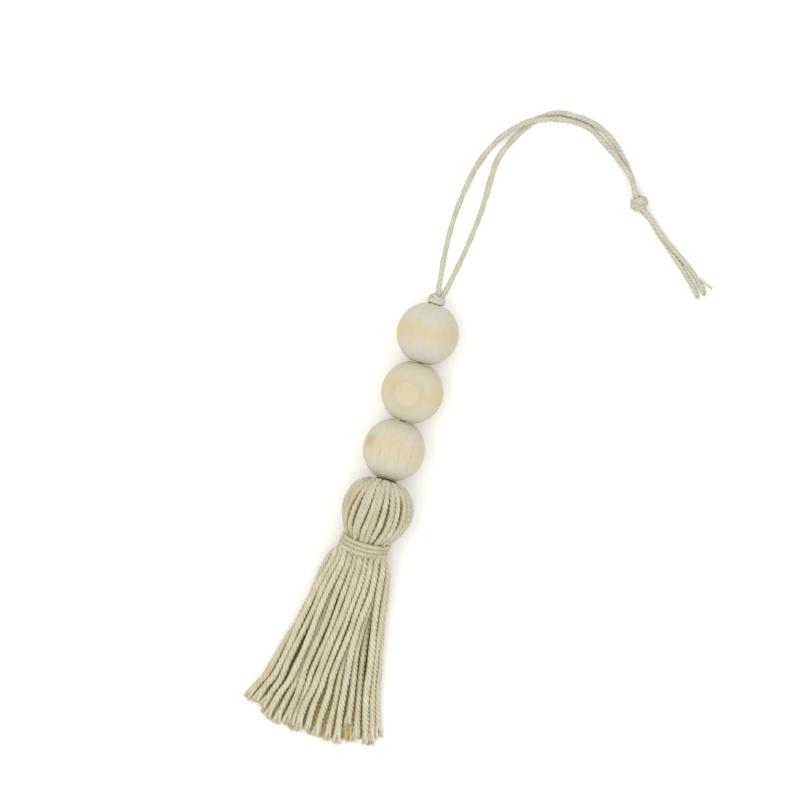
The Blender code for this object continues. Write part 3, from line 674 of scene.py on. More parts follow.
# %% Neck wrap
WRAP_PLACE, WRAP_PITCH, WRAP_RADIUS = 11.35, 1.34, 7.22
WRAP_CORD, WRAP_LAY, WRAP_GROOVE = 0.82 * MM, 2.9 * MM, 0.2
WRAP_LEAN, WRAP_YAW = math.radians(5.0), math.radians(2.9)
WRAP_ROUNDS, WRAP_START = 3.0, math.radians(150.0)
TUCK_DEPTH, TUCK_SHARE, WRAP_STEP = 1.3, 0.06, 0.4 * MM
turn = np.linspace(0.0, 1.0, 1600)
wrap_angle = WRAP_START + 2 * math.pi * WRAP_ROUNDS * turn
wrap_radius = WRAP_RADIUS - TUCK_DEPTH * ramp(np.abs(turn - 0.5), 0.5 - TUCK_SHARE, TUCK_SHARE) ** 2
wrap_side, wrap_height = wrap_radius * np.sin(wrap_angle), wrap_radius * np.cos(wrap_angle)
wrap_reach = WRAP_PLACE + WRAP_PITCH * WRAP_ROUNDS * (turn - 0.5)
wrap_reach += wrap_height * math.tan(WRAP_LEAN) - wrap_side * math.tan(WRAP_YAW)
wrap_path = evened(on_spine(wrap_reach * MM, wrap_side * MM, wrap_height * MM), WRAP_STEP)
outward = unit(wrap_path - on_spine(np.full(1, WRAP_PLACE * MM)))
wrap_grid = cord_grid(wrap_path, WRAP_CORD, WRAP_LAY, outward, groove=WRAP_GROOVE, around=16)
add_piece("wrap_cord", tube_mesh("wrap_cord", [wrap_grid]), head_cotton_painted_shade, "neck_wrap")

# %% [markdown]
# ## Skirt
# Below the wrap the same 32 cords fan out into a heap of two layers. Each upper cord's place is written as a
# share of the skirt's half width at six distances, and a lower cord lies under the gap between two upper
# ones. Hair particles would be quicker to spread, but they would lie where chance puts them.

# %% Skirt cord places
# Reach from the ball's centre, half width to the left and to the right, underside, top and cord width, in mm.
SKIRT_SECTIONS = (
    (9.0, 6.6, 5.8, 2.9, 16.1, 1.8), (12.2, 7.2, 6.2, 2.6, 15.9, 1.85), (13.7, 9.2, 7.4, 1.4, 16.7, 1.9),
    (15.2, 10.4, 8.1, 0.8, 16.4, 1.95), (18.4, 11.3, 9.7, 0.2, 15.4, 2.0),
    (23.2, 12.2, 10.9, 0.0, 13.5, 2.05), (28.1, 12.9, 12.0, 0.0, 11.8, 2.1),
    (32.9, 13.4, 12.7, 0.0, 10.5, 2.15), (37.7, 14.2, 13.8, 0.0, 9.5, 2.15),
    (42.5, 15.6, 14.5, 0.0, 8.7, 2.2), (47.2, 16.8, 15.6, 0.0, 8.0, 2.2), (53.7, 18.4, 16.9, 0.0, 7.3, 2.25),
    (60.1, 20.0, 18.7, 0.0, 6.7, 2.25), (66.5, 23.4, 21.2, 0.0, 6.0, 2.3), (75.0, 26.6, 24.2, 0.0, 5.2, 2.3),
)
STATIONS = np.array((9.0, 10.6, 12.0, 13.2, 14.6, 16.4, 18.8, 22.0, 26.0, 30.0, 35.0, 40.0, 45.0, 50.0, 55.0,
                     60.0, 65.0, 70.0, 75.0))
SHARE_REACHES = (18.2, 25.2, 35.2, 45.2, 55.2, 65.2)
UPPER_SHARES = (
    (-0.92, -0.97, -0.97, -0.97, -0.95, -0.95), (-0.75, -0.83, -0.89, -0.86, -0.82, -0.82),
    (-0.60, -0.69, -0.75, -0.72, -0.71, -0.69), (-0.45, -0.54, -0.60, -0.56, -0.55, -0.56),
    (-0.38, -0.45, -0.48, -0.47, -0.46, -0.43), (-0.29, -0.34, -0.38, -0.38, -0.38, -0.32),
    (-0.12, -0.15, -0.21, -0.22, -0.25, -0.23), (0.03, 0.01, -0.07, -0.10, -0.14, -0.15),
    (0.20, 0.17, 0.07, 0.02, -0.01, -0.04), (0.37, 0.34, 0.23, 0.18, 0.12, 0.11),
    (0.44, 0.40, 0.32, 0.28, 0.25, 0.25), (0.55, 0.52, 0.39, 0.34, 0.37, 0.37),
    (0.62, 0.60, 0.48, 0.46, 0.49, 0.50), (0.66, 0.62, 0.56, 0.60, 0.63, 0.62),
    (0.75, 0.71, 0.73, 0.75, 0.76, 0.75), (0.90, 0.86, 0.86, 0.86, 0.85, 0.84),
    (0.98, 0.95, 0.96, 0.96, 0.95, 0.94),
)
UPPER_CORDS, EMPTY_GAP = len(UPPER_SHARES), 15
# Cords that lie deeper than their neighbours: numbers, depth, reach where they start to rise, and way to go.
SKIRT_ROOT, ROUND_LENGTH = 14.2, 15.0
SUNK_CORDS, SUNK_DEPTH, SUNK_LENGTH = (0, 4, 10, 12, 13), 2.6, 61.0
DEEP_CORDS, EXTRA_DEPTH, DEEP_REACH, DEEP_LENGTH = (12, 13), 2.2, 30.0, 11.0
# Half widths to both sides, underside, top and cord width at every station.
left, right, under, top, width = (c[:, None] for c in smooth_rows(SKIRT_SECTIONS, STATIONS).T)


def heaped_places():
    """Sideways place and height of every cord at every station, before settling, in mm."""
    upper = smooth_rows([(r, *c) for r, c in zip(SHARE_REACHES, zip(*UPPER_SHARES))], STATIONS)
    lower = np.delete(0.5 * (upper[:, 1:] + upper[:, :-1]), EMPTY_GAP, axis=1)
    share = np.concatenate([upper, lower], axis=1)
    number = np.arange(share.shape[1])
    side = 0.5 * (right - left) + share * 0.5 * (right + left)
    side = np.clip(side, 0.5 * width - left, right - 0.5 * width)
    half = 0.5 * (top - under - width)
    arch = np.sqrt(np.clip(1.0 - share**2, 0.0, 1.0))
    rounded = 1.0 - ramp(STATIONS, SKIRT_ROOT, ROUND_LENGTH)[:, None]
    over = (1.0 - rounded) * 2.0 * half * arch + rounded * half * (1.0 + arch)
    below = rounded * half * (1.0 - arch)
    height = under + 0.5 * width + np.where(number < UPPER_CORDS, over, below)
    sunk, deep = np.isin(number, SUNK_CORDS), np.isin(number, DEEP_CORDS)
    height -= sunk * SUNK_DEPTH * (1.0 - ramp(STATIONS, SKIRT_ROOT, SUNK_LENGTH))[:, None]
    height -= deep * EXTRA_DEPTH * (1.0 - ramp(STATIONS, DEEP_REACH, DEEP_LENGTH))[:, None]
    return side, height, sunk, number < UPPER_CORDS


# %% [markdown]
# ## Cords in the neck
# Under the wrap the cords are held in a round bundle. They keep their order round it, so that no cord has to
# cross another on its way into the skirt.

# %% Neck places
NECK_INSIDE, INNER_RING, OUTER_RING = 6.6, 3.85, 5.72
ORDER_REACH = 16.0


def rooted_places(x, z, sunk, is_upper):
    """Places in the neck: an outer and an inner ring, in the order of the cords' angles round the skirt."""
    near = np.searchsorted(STATIONS, ORDER_REACH)
    angle = np.arctan2(x[near] - x[near].mean(), z[near] - z[near].mean())
    inner = sunk | (~is_upper & (np.arange(len(sunk)) % 2 == 0))
    rooted = np.zeros((len(sunk), 2))
    for ring, radius in ((inner, INNER_RING), (~inner, OUTER_RING)):
        order = np.argsort(angle[ring])
        steps = np.arange(ring.sum()) * 2 * math.pi / ring.sum()
        start = np.angle(np.mean(np.exp(1j * (angle[ring][order] - steps))))
        turned = steps + start
        rooted[np.flatnonzero(ring)[order]] = radius * np.stack([np.sin(turned), np.cos(turned)], axis=1)
    return rooted


# %% [markdown]
# ## Settled cords
# The two sets of places are blended, and the cords are pushed apart a little in each of many rounds, until
# none lies in another, as soft cords settle when they are laid down. Writing down all 32 courses by hand
# would be long, and cords would still cut into each other.

# %% Settling
SETTLING_ROUNDS, PUSH, SOFTNESS = 420, 0.3, 0.94
SMOOTHING, SMOOTHED_ROUNDS = 0.2, 0.8 * SETTLING_ROUNDS
HOLD, HOLD_START, HOLD_WAY = 0.25, 16.0, 8.0
ROOT_REACH, NECK_END, FAN_START, FAN_WAY = 11.5, 13.4, 12.2, 7.0
FLOOR_SLACK, TINY = 0.4, 1e-6
SHORT_CORD, SHORT_END = 12, 67.4


def settled_places():
    """Places of the cords (station, cord, 2) in mm, pushed apart as round cords."""
    x, z, sunk, is_upper = heaped_places()
    centre = smooth_rows(SPINE, ROOT_REACH)[0]
    blend = ramp(STATIONS, FAN_START, FAN_WAY)[:, None, None]
    blend = 3 * blend**2 - 2 * blend**3
    places = (1 - blend) * (rooted_places(x, z, sunk, is_upper) + centre) + blend * np.stack([x, z], axis=2)
    in_neck = STATIONS < NECK_END
    held = ramp(STATIONS, HOLD_START, HOLD_WAY)[:, None]
    for settling in range(SETTLING_ROUNDS):
        apart = places[:, :, None, :] - places[:, None, :, :]
        gap = np.linalg.norm(apart, axis=3)
        overlap = np.clip(SOFTNESS * width[:, :, None] - gap, 0.0, None) * (gap > 0)
        places += PUSH * np.sum(apart / np.maximum(gap, TINY)[..., None] * overlap[..., None], axis=2)
        places[:, is_upper, 0] += HOLD * held * (x[:, is_upper] - places[:, is_upper, 0])
        if settling < SMOOTHED_ROUNDS:
            places[1:-1] += SMOOTHING * (0.5 * (places[:-2] + places[2:]) - places[1:-1])
        places[..., 0] = np.clip(places[..., 0], 0.5 * width - left, right - 0.5 * width)
        places[..., 1] = np.maximum(places[..., 1], 0.5 * width + np.maximum(under - FLOOR_SLACK, 0.0))
        out = places[in_neck] - centre
        far = np.linalg.norm(out, axis=2, keepdims=True)
        limit = NECK_INSIDE - 0.5 * width[in_neck][..., None]
        places[in_neck] = centre + out * np.minimum(1.0, limit / np.maximum(far, TINY))
    moved = np.abs(places[8:, is_upper, 0] - x[8:, is_upper])
    print("upper cords ended this far from their written places, mm:", np.round(moved.max(axis=0), 1))
    return places


settled = settled_places()
# The two lower cords beside the short upper cord lie closer together, and hide the table below its end.
for cord, nudge in ((UPPER_CORDS + SHORT_CORD - 1, 0.25), (UPPER_CORDS + SHORT_CORD, -0.45)):
    settled[-3:, cord, 0] += nudge
print("skirt cords:", settled.shape[1], "widest, mm:", np.round(np.ptp(settled[..., 0], axis=1).max(), 1))

# %% [markdown]
# ## Courses of the skirt's cords
# A smooth curve through a cord's settled places is too perfect. Each cord sways and lifts by slow waves of
# its own once it is clear of the neck, thickens and thins a little, and ends where the uneven hem is.

# %% Skirt courses
# Where the cut ends lie: share of the half width, and reach in mm.
SKIRT_ENDS = ((-1.0, 67.8), (-0.8, 69.4), (-0.6, 72.2), (-0.3, 73.2), (0.0, 73.2), (0.3, 74.1), (0.5, 72.4),
              (0.7, 71.2), (0.9, 70.6), (1.0, 68.3))
END_UNEVENNESS, HALF_HEM = 0.8, (23.2, 21.0)
LOOSE_START, LOOSE_WAY = 18.0, 20.0
SWAY, LIFT, SLOW_WAVES = 0.16, 0.12, (3.2, 5.5)
SWELL, SWELL_WAVE = 0.04, 1.7
PACKED, PACKED_END, PACKED_WAY = 0.12, 24.0, 8.0
LOWER_THICKER = 1.08


def skirt_paths():
    """An even path for every cord of the skirt, with its radius as fourth column."""
    paths = []
    for cord in range(settled.shape[1]):
        x, z = settled[:, cord].T
        share = x[-2] / HALF_HEM[int(x[-2] >= 0)]
        end = smooth_rows(SKIRT_ENDS, share)[0, 0] + chance.uniform(-1.0, 1.0) * END_UNEVENNESS
        end = SHORT_END if cord == SHORT_CORD else end
        reach = np.linspace(STATIONS[0], end, 260)
        course = smooth_rows(np.column_stack([STATIONS, x, z, width]), reach)
        loose = ramp(reach, LOOSE_START, LOOSE_WAY)
        sway, lift = (size * loose * np.sin(reach / chance.uniform(*SLOW_WAVES) + turned_at_random())
                      for size in (SWAY, LIFT))
        radius = 0.5 * course[:, 2] * (1.0 + SWELL * np.sin(reach / SWELL_WAVE + turned_at_random()))
        radius *= 1.0 + PACKED * (1.0 - ramp(reach, PACKED_END, PACKED_WAY))
        radius *= LOWER_THICKER if cord >= UPPER_CORDS else 1.0
        path = np.column_stack([
            course[:, 0] + sway, HEAD_ALONG / MM - reach, np.maximum(course[:, 1] + lift, radius), radius])
        paths.append(evened(path * MM, RING_STEP))
    return paths


# %% [markdown]
# ## Cut ends
# A cotton cord that is cut and left free untwists at its end: the three yarns open and lean apart, and single
# fibres stand out between them. So each cord stops a little early, and its yarns and fibres carry on. Fibres
# are 0.02 mm thick in truth, too fine to see, so a few thicker ones stand for many.

# %% Opened yarns and loose fibres
# Shares of the cord's radius: distance from the middle, how far a yarn leans out, and its thickness.
YARN_RINGS, YARN_PLACE, YARN_LEAN, LEAN_UNEVENNESS = 9, 0.42, 0.45, (-0.2, 0.4)
YARN_THICKNESS = ((0.0, 0.75, 1.0), (0.50, 0.52, 0.34))
YARN_TURN, TURN_UNEVENNESS, YARN_FLATNESS, YARN_LENGTHS = 0.9, 0.15, 0.75, (0.55, 1.0)
FIBRE_RINGS, FIBRE_PLACES, FIBRE_LENGTHS, FIBRE_SPREADS = 5, (0.2, 1.05), (0.45, 1.0), (0.0, 0.35)
FIBRE_ROOT, FIBRE_BENDS, FIBRE_THICKNESS, FIBRE_LOWEST = 0.8, (0.3, 0.15), (0.15, 0.05), 0.1


def opened_yarns(path, radius, back, length):
    """The yarns of a cord's cut end, which untwist and lean outwards from a little before the end."""
    start = len(path) - 1 - round(back / RING_STEP)
    tangent = unit(path[-1] - path[start])
    side = unit(np.cross(tangent, UP))
    lift = np.cross(side, tangent)
    first = turned_at_random()
    reach = np.linspace(0.0, 1.0, YARN_RINGS)[:, None]
    grids = []
    for yarn in range(YARNS):
        angle = first + 2 * math.pi * yarn / YARNS + YARN_TURN * reach + chance.normal(0.0, TURN_UNEVENNESS)
        out = radius * (YARN_PLACE + (YARN_LEAN + chance.uniform(*LEAN_UNEVENNESS)) * reach**2)
        way = np.cos(angle) * side + YARN_FLATNESS * np.sin(angle) * lift
        line = path[start] + reach * (back + length * chance.uniform(*YARN_LENGTHS)) * tangent + out * way
        thick = radius * np.interp(reach[:, 0], *YARN_THICKNESS)
        line[:, 2] = np.maximum(line[:, 2], thick)
        grids.append(plain_grid(line, thick, around=8))
    return grids


def fray(path, radius, count, length):
    """Thin loose fibres that leave a cord's cut end and spread a little."""
    end, tangent = path[-1], unit(path[-1] - path[-4])
    side = unit(np.cross(tangent, UP))
    lift = np.cross(side, tangent)
    grids = []
    for _ in range(count):
        angle, out = turned_at_random(), chance.uniform(*FIBRE_PLACES)
        way = math.cos(angle) * side + math.sin(angle) * lift
        reach = np.linspace(-FIBRE_ROOT * MM, length * chance.uniform(*FIBRE_LENGTHS), FIBRE_RINGS)[:, None]
        free = np.clip(reach, 0, None)
        bend = chance.normal(0.0, FIBRE_BENDS[0]) * side + chance.normal(0.0, FIBRE_BENDS[1]) * lift
        spread = way * (out * radius + free * chance.uniform(*FIBRE_SPREADS))
        line = end + reach * tangent + spread + bend * free
        line[:, 2] = np.maximum(line[:, 2], FIBRE_LOWEST * MM)
        grids.append(plain_grid(line, np.linspace(*FIBRE_THICKNESS, FIBRE_RINGS) * MM, around=4))
    return grids


# %% [markdown]
# ## Open and closed-in sides
# Light reaches the sides of a cord that other cords close in only by way of those cords, which makes it
# browner than the renderer's few bounces do. So each point of a cord is told how open it is, and the finish
# turns that into painted shade. It is worked out from the cords' circles, so it is the same from every side.

# %% Openness
LOOKS = np.radians(np.linspace(-80.0, 80.0, 11))


def openness(number, points, path, paths):
    """How open each point of a skirt cord's grid is: 1 in the open, -1 where other cords close it in.

    From each point it looks out along several rays in the section across the skirt, where x + i z stands for
    a place. A ray is closed if it meets the circle of another cord, and it counts by the cosine of its angle
    to the outward direction.
    """
    others = [other[::-1] for k, other in enumerate(paths) if k != number]
    x, z, radius = (np.stack([np.interp(path[:, 1], other[:, 1], other[:, k]) for other in others], axis=1)
                    for k in (0, 2, 3))
    radius *= path[:, 1, None] > np.array([other[0, 1] for other in others])
    places = points[..., 0] + 1j * points[..., 2]
    outward = np.angle(places - (path[:, 0] + 1j * path[:, 2])[:, None])
    away = (x + 1j * z)[:, None, :] - places[..., None]
    seen = 0.0
    for angle in LOOKS:
        ahead = away * np.exp(-1j * (outward + angle))[..., None]
        closed = (ahead.real > 0.0) & (np.abs(ahead.imag) < radius[:, None, :])
        seen = seen + math.cos(angle) * ~closed.any(axis=2)
    return 2.0 * seen / np.cos(LOOKS).sum() - 1.0


# %% [markdown]
# ## The skirt
# Upper cords, lower cords and the tufts of the upper cords are three pieces. The grooves of a cord deepen
# towards its end and the cord narrows, because there the yarns begin to part.

# %% Skirt cords and tufts
OPENING, BODY_STOPS, END_NARROWER, END_DEEPER = 4.0 * MM, 1.6 * MM, 0.25, 0.2
YARN_START, YARN_EXTRA = 4.2 * MM, 0.9 * MM
FIBRES_IN_TUFT, TUFT_LENGTH = 20, 1.7 * MM
upper_grids, lower_grids, tuft_grids = [], [], []
paths = skirt_paths()
for number, path in enumerate(paths):
    cords, ends = (upper_grids, tuft_grids) if number < UPPER_CORDS else (lower_grids, lower_grids)
    gone = travelled(path[:, :3])
    opening = ramp(gone, gone[-1] - OPENING, OPENING)
    body = gone < gone[-1] - BODY_STOPS
    radius, groove = path[:, 3] * (1.0 - END_NARROWER * opening), GROOVE + END_DEEPER * opening
    points, *measures, _ = cord_grid(path[body, :3], radius[body], TASSEL_LAY, start_turn=turned_at_random(),
                                     groove=groove[body])
    cords.append((points, *measures, openness(number, points, path[body], paths)))
    ends += opened_yarns(path[:, :3], path[-1, 3], YARN_START, YARN_EXTRA)
    ends += fray(path[:, :3], path[-1, 3], FIBRES_IN_TUFT, TUFT_LENGTH)
for name, grids, finish in (("skirt_upper_cords", upper_grids, tassel_cotton),
                            ("skirt_lower_cords", lower_grids, inner_cotton_painted_shade),
                            ("skirt_frayed_ends", tuft_grids, tassel_cotton)):
    add_piece(name, tube_mesh(name, grids), finish, "tassel")

# %% [markdown]
# ## Loop and tails
# The cut ends of the two tails are frayed like the skirt's ends, only less. The right one has also lost a
# yarn, which lies loose beside it. Frayed ends and knot ride on the same body as their cord, so they stay on
# it.

# %% Loop and tails
TAIL_FIBRES, TAIL_TUFT, TAIL_END_RADIUS = 14, 1.2 * MM, 0.8 * CORD_RADIUS
LOOSE_FIBRES, LOOSE_TUFT, LOOSE_RADII, LOOSE_END_RADIUS = 8, 1.0 * MM, (0.45, 0.28), 0.35 * MM
LOOSE_YARN = ((77.3, 100.3, 0.9), (78.7, 100.3, 1.3), (80.6, 99.5, 1.2), (82.6, 98.6, 0.7))
loose_path = smooth_path(np.array(LOOSE_YARN) * MM, CORD_STEP)
left_tuft, right_tuft = (fray(cord_path(route), TAIL_END_RADIUS, TAIL_FIBRES, TAIL_TUFT)
                         for route in (TAIL_LEFT_ROUTE, TAIL_RIGHT_ROUTE))
right_tuft.append(plain_grid(loose_path, np.linspace(*LOOSE_RADII, len(loose_path)) * MM, around=8))
right_tuft += fray(loose_path, LOOSE_END_RADIUS, LOOSE_FIBRES, LOOSE_TUFT)
tail_tufts = [
    add_piece(name, tube_mesh(name, grids), cord_cotton)
    for name, grids in (("tail_left_fray", left_tuft), ("tail_right_fray", right_tuft))
]
free_cord("loop_outer_cord", LOOP_OUTER_ROUTE, "loop_strand_outer")
free_cord("loop_inner_cord", LOOP_INNER_ROUTE, "loop_strand_inner")
free_cord("tail_left_cord", TAIL_LEFT_ROUTE, "tail_left", TAIL_RADIUS)
free_cord("tail_right_cord", TAIL_RIGHT_ROUTE, "tail_right", TAIL_RADIUS)

# %% [markdown]
# ## Thread through the beads
# The doubled hanging cord runs through the three bores and into the top of the head. It only shows as a thin
# line between two beads, so two strands that wind slowly round each other are enough.

# %% Threaded strands
THREAD_LAY, THREAD_OFFSET, THREAD_RADIUS = 38.0 * MM, 0.93 * MM, 0.92 * MM
THREAD_X, THREAD_HEIGHT, THREAD_ENDS = 0.2 * MM, 9.87 * MM, (6.5, 69.4)
thread_y = np.linspace(*THREAD_ENDS, 150) * MM
thread_grids = []
for phase in (0.0, math.pi):
    round_axis = phase + 2 * math.pi * thread_y / THREAD_LAY
    strand = np.stack([THREAD_X + THREAD_OFFSET * np.cos(round_axis), thread_y,
                       THREAD_HEIGHT + THREAD_OFFSET * np.sin(round_axis)], axis=1)
    thread_grids.append(cord_grid(strand, THREAD_RADIUS, CORD_LAY))
add_piece("threaded_strands", tube_mesh("threaded_strands", thread_grids), cord_cotton, "threaded_cord")

# %% [markdown]
# ## Turned wooden beads
# Each bead is turned from a light hardwood, bored along its grain and left unvarnished. The ends show pale,
# closed end grain. The middle shows the long grain, where the wood is warmer and fine pores make short dark
# streaks along the bore. The growth layers are nearly flat sheets, which cut the ball in soft oval lines.
# A lathe cuts one profile all the way round, and the mesh is made in the same way.

# %% Bead surface
BEAD_BALL, BEAD_ACROSS, BEAD_FLAT, BEAD_BORE, BORE_EDGE = 10.0, 9.87, 3.3, 2.5, 0.45
BEAD_AXIS_HEIGHT, BEAD_SIDES = 9.875, 96
PITH_DISTANCE = 50.0


def bead_profile():
    """Closed profile of (along the bore, from the bore) in mm: ball, flat, rounded edge, bore and back."""
    half = math.sqrt(BEAD_BALL**2 - BEAD_FLAT**2)
    angle = np.linspace(-math.asin(half / BEAD_BALL), math.asin(half / BEAD_BALL), 49)
    ball = np.stack([BEAD_BALL * np.sin(angle), BEAD_ACROSS * np.cos(angle)], axis=1)
    ball[[0, -1], 1] = BEAD_FLAT
    turn = np.linspace(0.0, 0.5 * math.pi, 5)
    edge = np.stack([half - BORE_EDGE * (1 - np.cos(turn)),
                     BEAD_BORE + BORE_EDGE * (1 - np.sin(turn))], axis=1)
    far = [(half, 0.5 * (BEAD_FLAT + BEAD_BORE + BORE_EDGE)), *edge]
    bore = [(u, BEAD_BORE) for u in np.linspace(half - 2 * BORE_EDGE, 2 * BORE_EDGE - half, 9)]
    near = [(-u, r) for u, r in reversed(far)]
    return np.array([*ball, *far, *bore, *near])


def bead_mesh(name, centre, layers, turned):
    """Surface of revolution of the profile, with the wood's own coordinates in mm on every point.

    "wood" holds the place in the block: the first value runs along the bore and the other two across it,
    turned by an angle. "layer" is the distance along the direction that the growth layers are stacked in,
    plus c ** 2 / (2 PITH_DISTANCE) at distance c beside it, because the layers bend round the pith.
    """
    profile = bead_profile()
    angle = np.linspace(0.0, 2 * math.pi, BEAD_SIDES, endpoint=False)
    u = np.repeat(profile[:, 0], BEAD_SIDES)
    x = (profile[:, 1:2] * np.cos(angle)).ravel()
    z = (profile[:, 1:2] * np.sin(angle)).ravel()
    local = np.stack([x, u, z], axis=1)
    index = np.arange(len(local)).reshape(-1, BEAD_SIDES)
    beside, next_row = np.roll(index, -1, axis=1), np.roll(index, -1, axis=0)
    faces = np.stack([index, beside, np.roll(next_row, -1, axis=1), next_row], axis=-1).reshape(-1, 4)
    points = local * MM + np.array((*centre, BEAD_AXIS_HEIGHT)) * MM
    mesh = filled_mesh(name, points, faces.ravel(), np.full(len(faces), 4))
    across, over = math.cos(turned), math.sin(turned)
    wood = np.stack([u, across * x - over * z, over * x + across * z], axis=1)
    mesh.attributes.new("wood", "FLOAT_VECTOR", "POINT").data.foreach_set("vector", wood.ravel())
    across_layers = unit(np.cross(layers, (0.0, 1.0, 0.0)))
    stacked = local @ unit(np.array(layers)) + (local @ across_layers) ** 2 / (2 * PITH_DISTANCE)
    mesh.attributes.new("layer", "FLOAT", "POINT").data.foreach_set("value", stacked)
    mesh.validate()
    return mesh


# %% [markdown]
# ## Light hardwood
# Beads like these are turned from birch, beech or schima and left raw. Raw wood scatters light and hardly
# shines. Its drawing is weak: a warm tint where the long grain shows, short pores and a few growth lines.
# The patterns are worked out inside the block of wood, so they run through the ball without a seam, as if it
# had really been cut from that block.

# %% Wood finish
PORES_PER_MM = (0.2, 2.4, 2.4)
CLOUDS_PER_MM = 0.17
# Long grain in the middle band, growth lines, pores, and a dark spot.
WOOD_COLOURS = [linear(colour) for colour in ("#c9b68c", "#ad9a6f", "#b3a177", "#b59f68")]


def wood_finish(name, ends, lines, line_spacing, first_line, wobble, warmth, pores, spot=(0.0, 0.0, 0.0)):
    """Unvarnished light hardwood: warm in a band round the middle, pale ends, pores and growth lines.

    ends is the colour of the end grain. lines, warmth and pores are strengths from 0 to 1, and line_spacing,
    first_line, wobble and the spot's place are in mm. A spot in the middle of the block does not show.
    A growth line comes wherever the count (layer + wobble * cloud) / line_spacing + shift passes a whole one.
    """
    finish, tree, shader = new_finish(name, Roughness=0.55, Specular_IOR_Level=0.3)
    wood = add_node(tree, "Attribute", attribute_name="wood").outputs["Vector"]
    clouds = add_node(tree, "TexNoise", {
        "Vector": wood, "Scale": CLOUDS_PER_MM, "Detail": 2.0, "Roughness": 0.5})
    along = add_node(tree, "SeparateXYZ", {"Vector": wood})
    from_middle = add_node(tree, "Math", {0: along.outputs["X"]}, operation="ABSOLUTE")
    shifted = add_node(tree, "Math", {0: clouds, 1: -10.0, 2: from_middle}, operation="MULTIPLY_ADD")
    band = add_node(tree, "MapRange", {
        "Value": shifted, "From Min": -4.6, "From Max": 0.8, "To Min": warmth, "To Max": 0.0,
    }, interpolation_type="SMOOTHSTEP")

    long_grain = add_node(tree, "Mapping", {"Vector": wood, "Scale": PORES_PER_MM})
    pore_noise = add_node(tree, "TexNoise", {
        "Vector": long_grain, "Scale": 1.0, "Detail": 3.0, "Roughness": 0.55})
    in_pore = add_node(tree, "MapRange", {
        "Value": pore_noise, "From Min": 0.5, "From Max": 0.75, "To Max": pores})

    layer = add_node(tree, "Attribute", attribute_name="layer").outputs["Fac"]
    wavy = add_node(tree, "Math", {0: clouds, 1: wobble, 2: layer}, operation="MULTIPLY_ADD")
    # Twenty whole lines are added so that the count is never negative.
    shift = 20.0 - (first_line + 0.5 * wobble) / line_spacing
    count = add_node(tree, "Math", {0: wavy, 1: 1.0 / line_spacing, 2: shift}, operation="MULTIPLY_ADD")
    saw = add_node(tree, "Math", {0: count}, operation="FRACT")
    in_line = add_node(tree, "MapRange", {
        "Value": saw, "From Min": 0.72, "From Max": 0.99, "To Max": lines}, interpolation_type="SMOOTHSTEP")

    from_spot = add_node(tree, "VectorMath", {0: wood, 1: spot}, operation="DISTANCE")
    near_spot = add_node(tree, "MapRange", {
        "Value": from_spot.outputs["Value"], "From Min": 0.5, "From Max": 3.6, "To Min": 0.6, "To Max": 0.0,
    }, interpolation_type="SMOOTHSTEP")
    colour = linear(ends)
    for share, other in zip((band, in_line, in_pore, near_spot), WOOD_COLOURS):
        colour = add_node(tree, "Mix", {"Factor": share, "A": colour, "B": other}, data_type="RGBA")
    tree.links.new(colour.outputs["Result"], shader.inputs["Base Color"])
    return finish


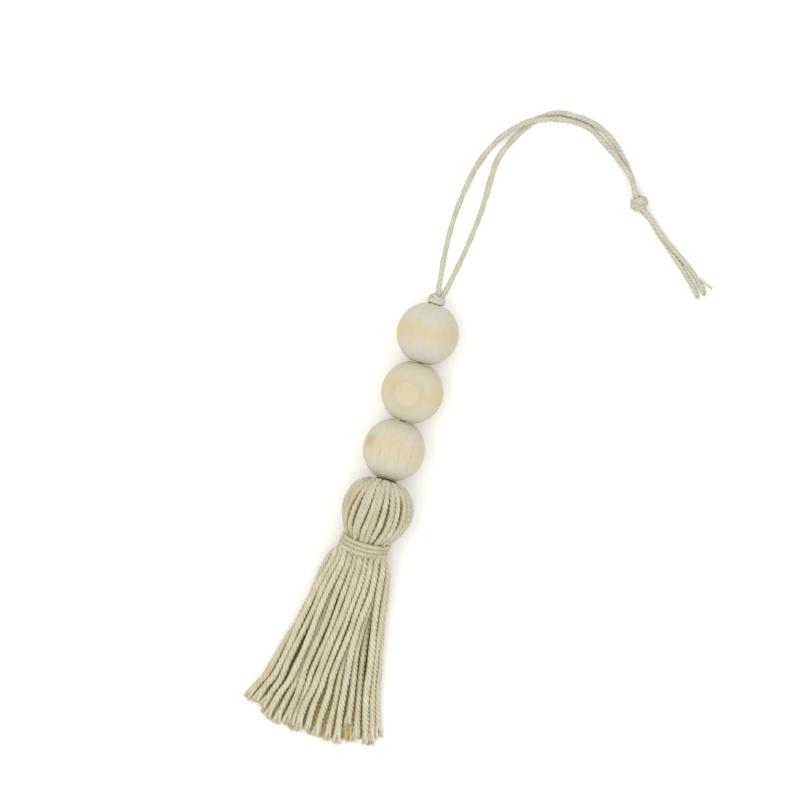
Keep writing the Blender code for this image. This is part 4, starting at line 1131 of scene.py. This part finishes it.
# Each bead was cut from another part of the plank, so the growth layers run differently through it.
BEADS = (
    ("bead_bottom", "bottom_bead", (0.0, 20.8), (1.0, 0.0, 0.15), 0.8,
     dict(ends="#c6c2ae", lines=0.16, line_spacing=3.1, first_line=1.2, wobble=3.0, warmth=0.5, pores=0.30,
          spot=(0.9, -8.9, -1.8))),
    ("bead_middle", "middle_bead", (0.5, 39.98), (-0.17, -0.12, 0.978), 0.0,
     dict(ends="#c6c0a8", lines=0.2, line_spacing=6.0, first_line=9.17, wobble=0.5, warmth=0.55, pores=0.12)),
    ("bead_top", "top_bead", (0.0, 59.16), (0.9, 0.0, 0.4), 1.9,
     dict(ends="#c4c1b0", lines=0.08, line_spacing=3.9, first_line=0.5, wobble=3.0, warmth=0.72, pores=0.16)),
)
for name, body, centre, layers, turned, look in BEADS:
    hardwood = wood_finish(f"turned_light_hardwood_{name}", **look)
    mesh = bead_mesh(f"{name}_wood", centre, layers, turned)
    add_piece(f"{name}_wood", mesh, hardwood, name, body)

# %% [markdown]
# ## Table and light
# The tassel lies on a plain pale table under a broad soft sky, brighter above than at the sides, so that its
# shadows stay faint and the grooves between the cords carry the drawing. A large window lamp adds a little
# direction, which a sky alone would not give to the beads.

# %% Table and light
SKY_AT_SIDES, SKY_ABOVE = 0.72, 1.34
WINDOW_PLACE, WINDOW_AIM = Vector((-0.25, -0.12, 1.28)), Vector((0.0, 0.03, 0.0))
WINDOW_SIZE, WINDOW_POWER = 0.9, 3.4
table_mesh = bpy.data.meshes.new("table_top")
table_mesh.from_pydata([(-2, -2, 0), (2, -2, 0), (2, 2, 0), (-2, 2, 0)], [], [(0, 1, 2, 3)])
table = placed("table_top", table_mesh)
board, _, _ = new_finish("matt_white_board", Roughness=1.0, Specular_IOR_Level=0.0,
                         Base_Color=linear("#fafaf8"))
table_mesh.materials.append(board)

world = bpy.data.worlds.new("soft_studio")
bpy.context.scene.world = world
world.use_nodes = True
world.node_tree.nodes["Background"].inputs["Color"].default_value = (1.0, 1.0, 1.0, 1.0)
direction = add_node(world.node_tree, "TexCoord")
heights = add_node(world.node_tree, "SeparateXYZ", {0: direction.outputs["Generated"]})
brightness = add_node(world.node_tree, "MapRange", {
    "Value": heights.outputs["Z"], "To Min": SKY_AT_SIDES, "To Max": SKY_ABOVE})
world.node_tree.links.new(brightness.outputs[0], world.node_tree.nodes["Background"].inputs["Strength"])

window_data = bpy.data.lights.new("window_light", "AREA")
window_data.size, window_data.energy = WINDOW_SIZE, WINDOW_POWER
window = placed("window_light", window_data)
window.location = WINDOW_PLACE
window.rotation_euler = (WINDOW_AIM - WINDOW_PLACE).to_track_quat("-Z", "Y").to_euler()
bpy.context.scene.view_settings.view_transform = "Standard"
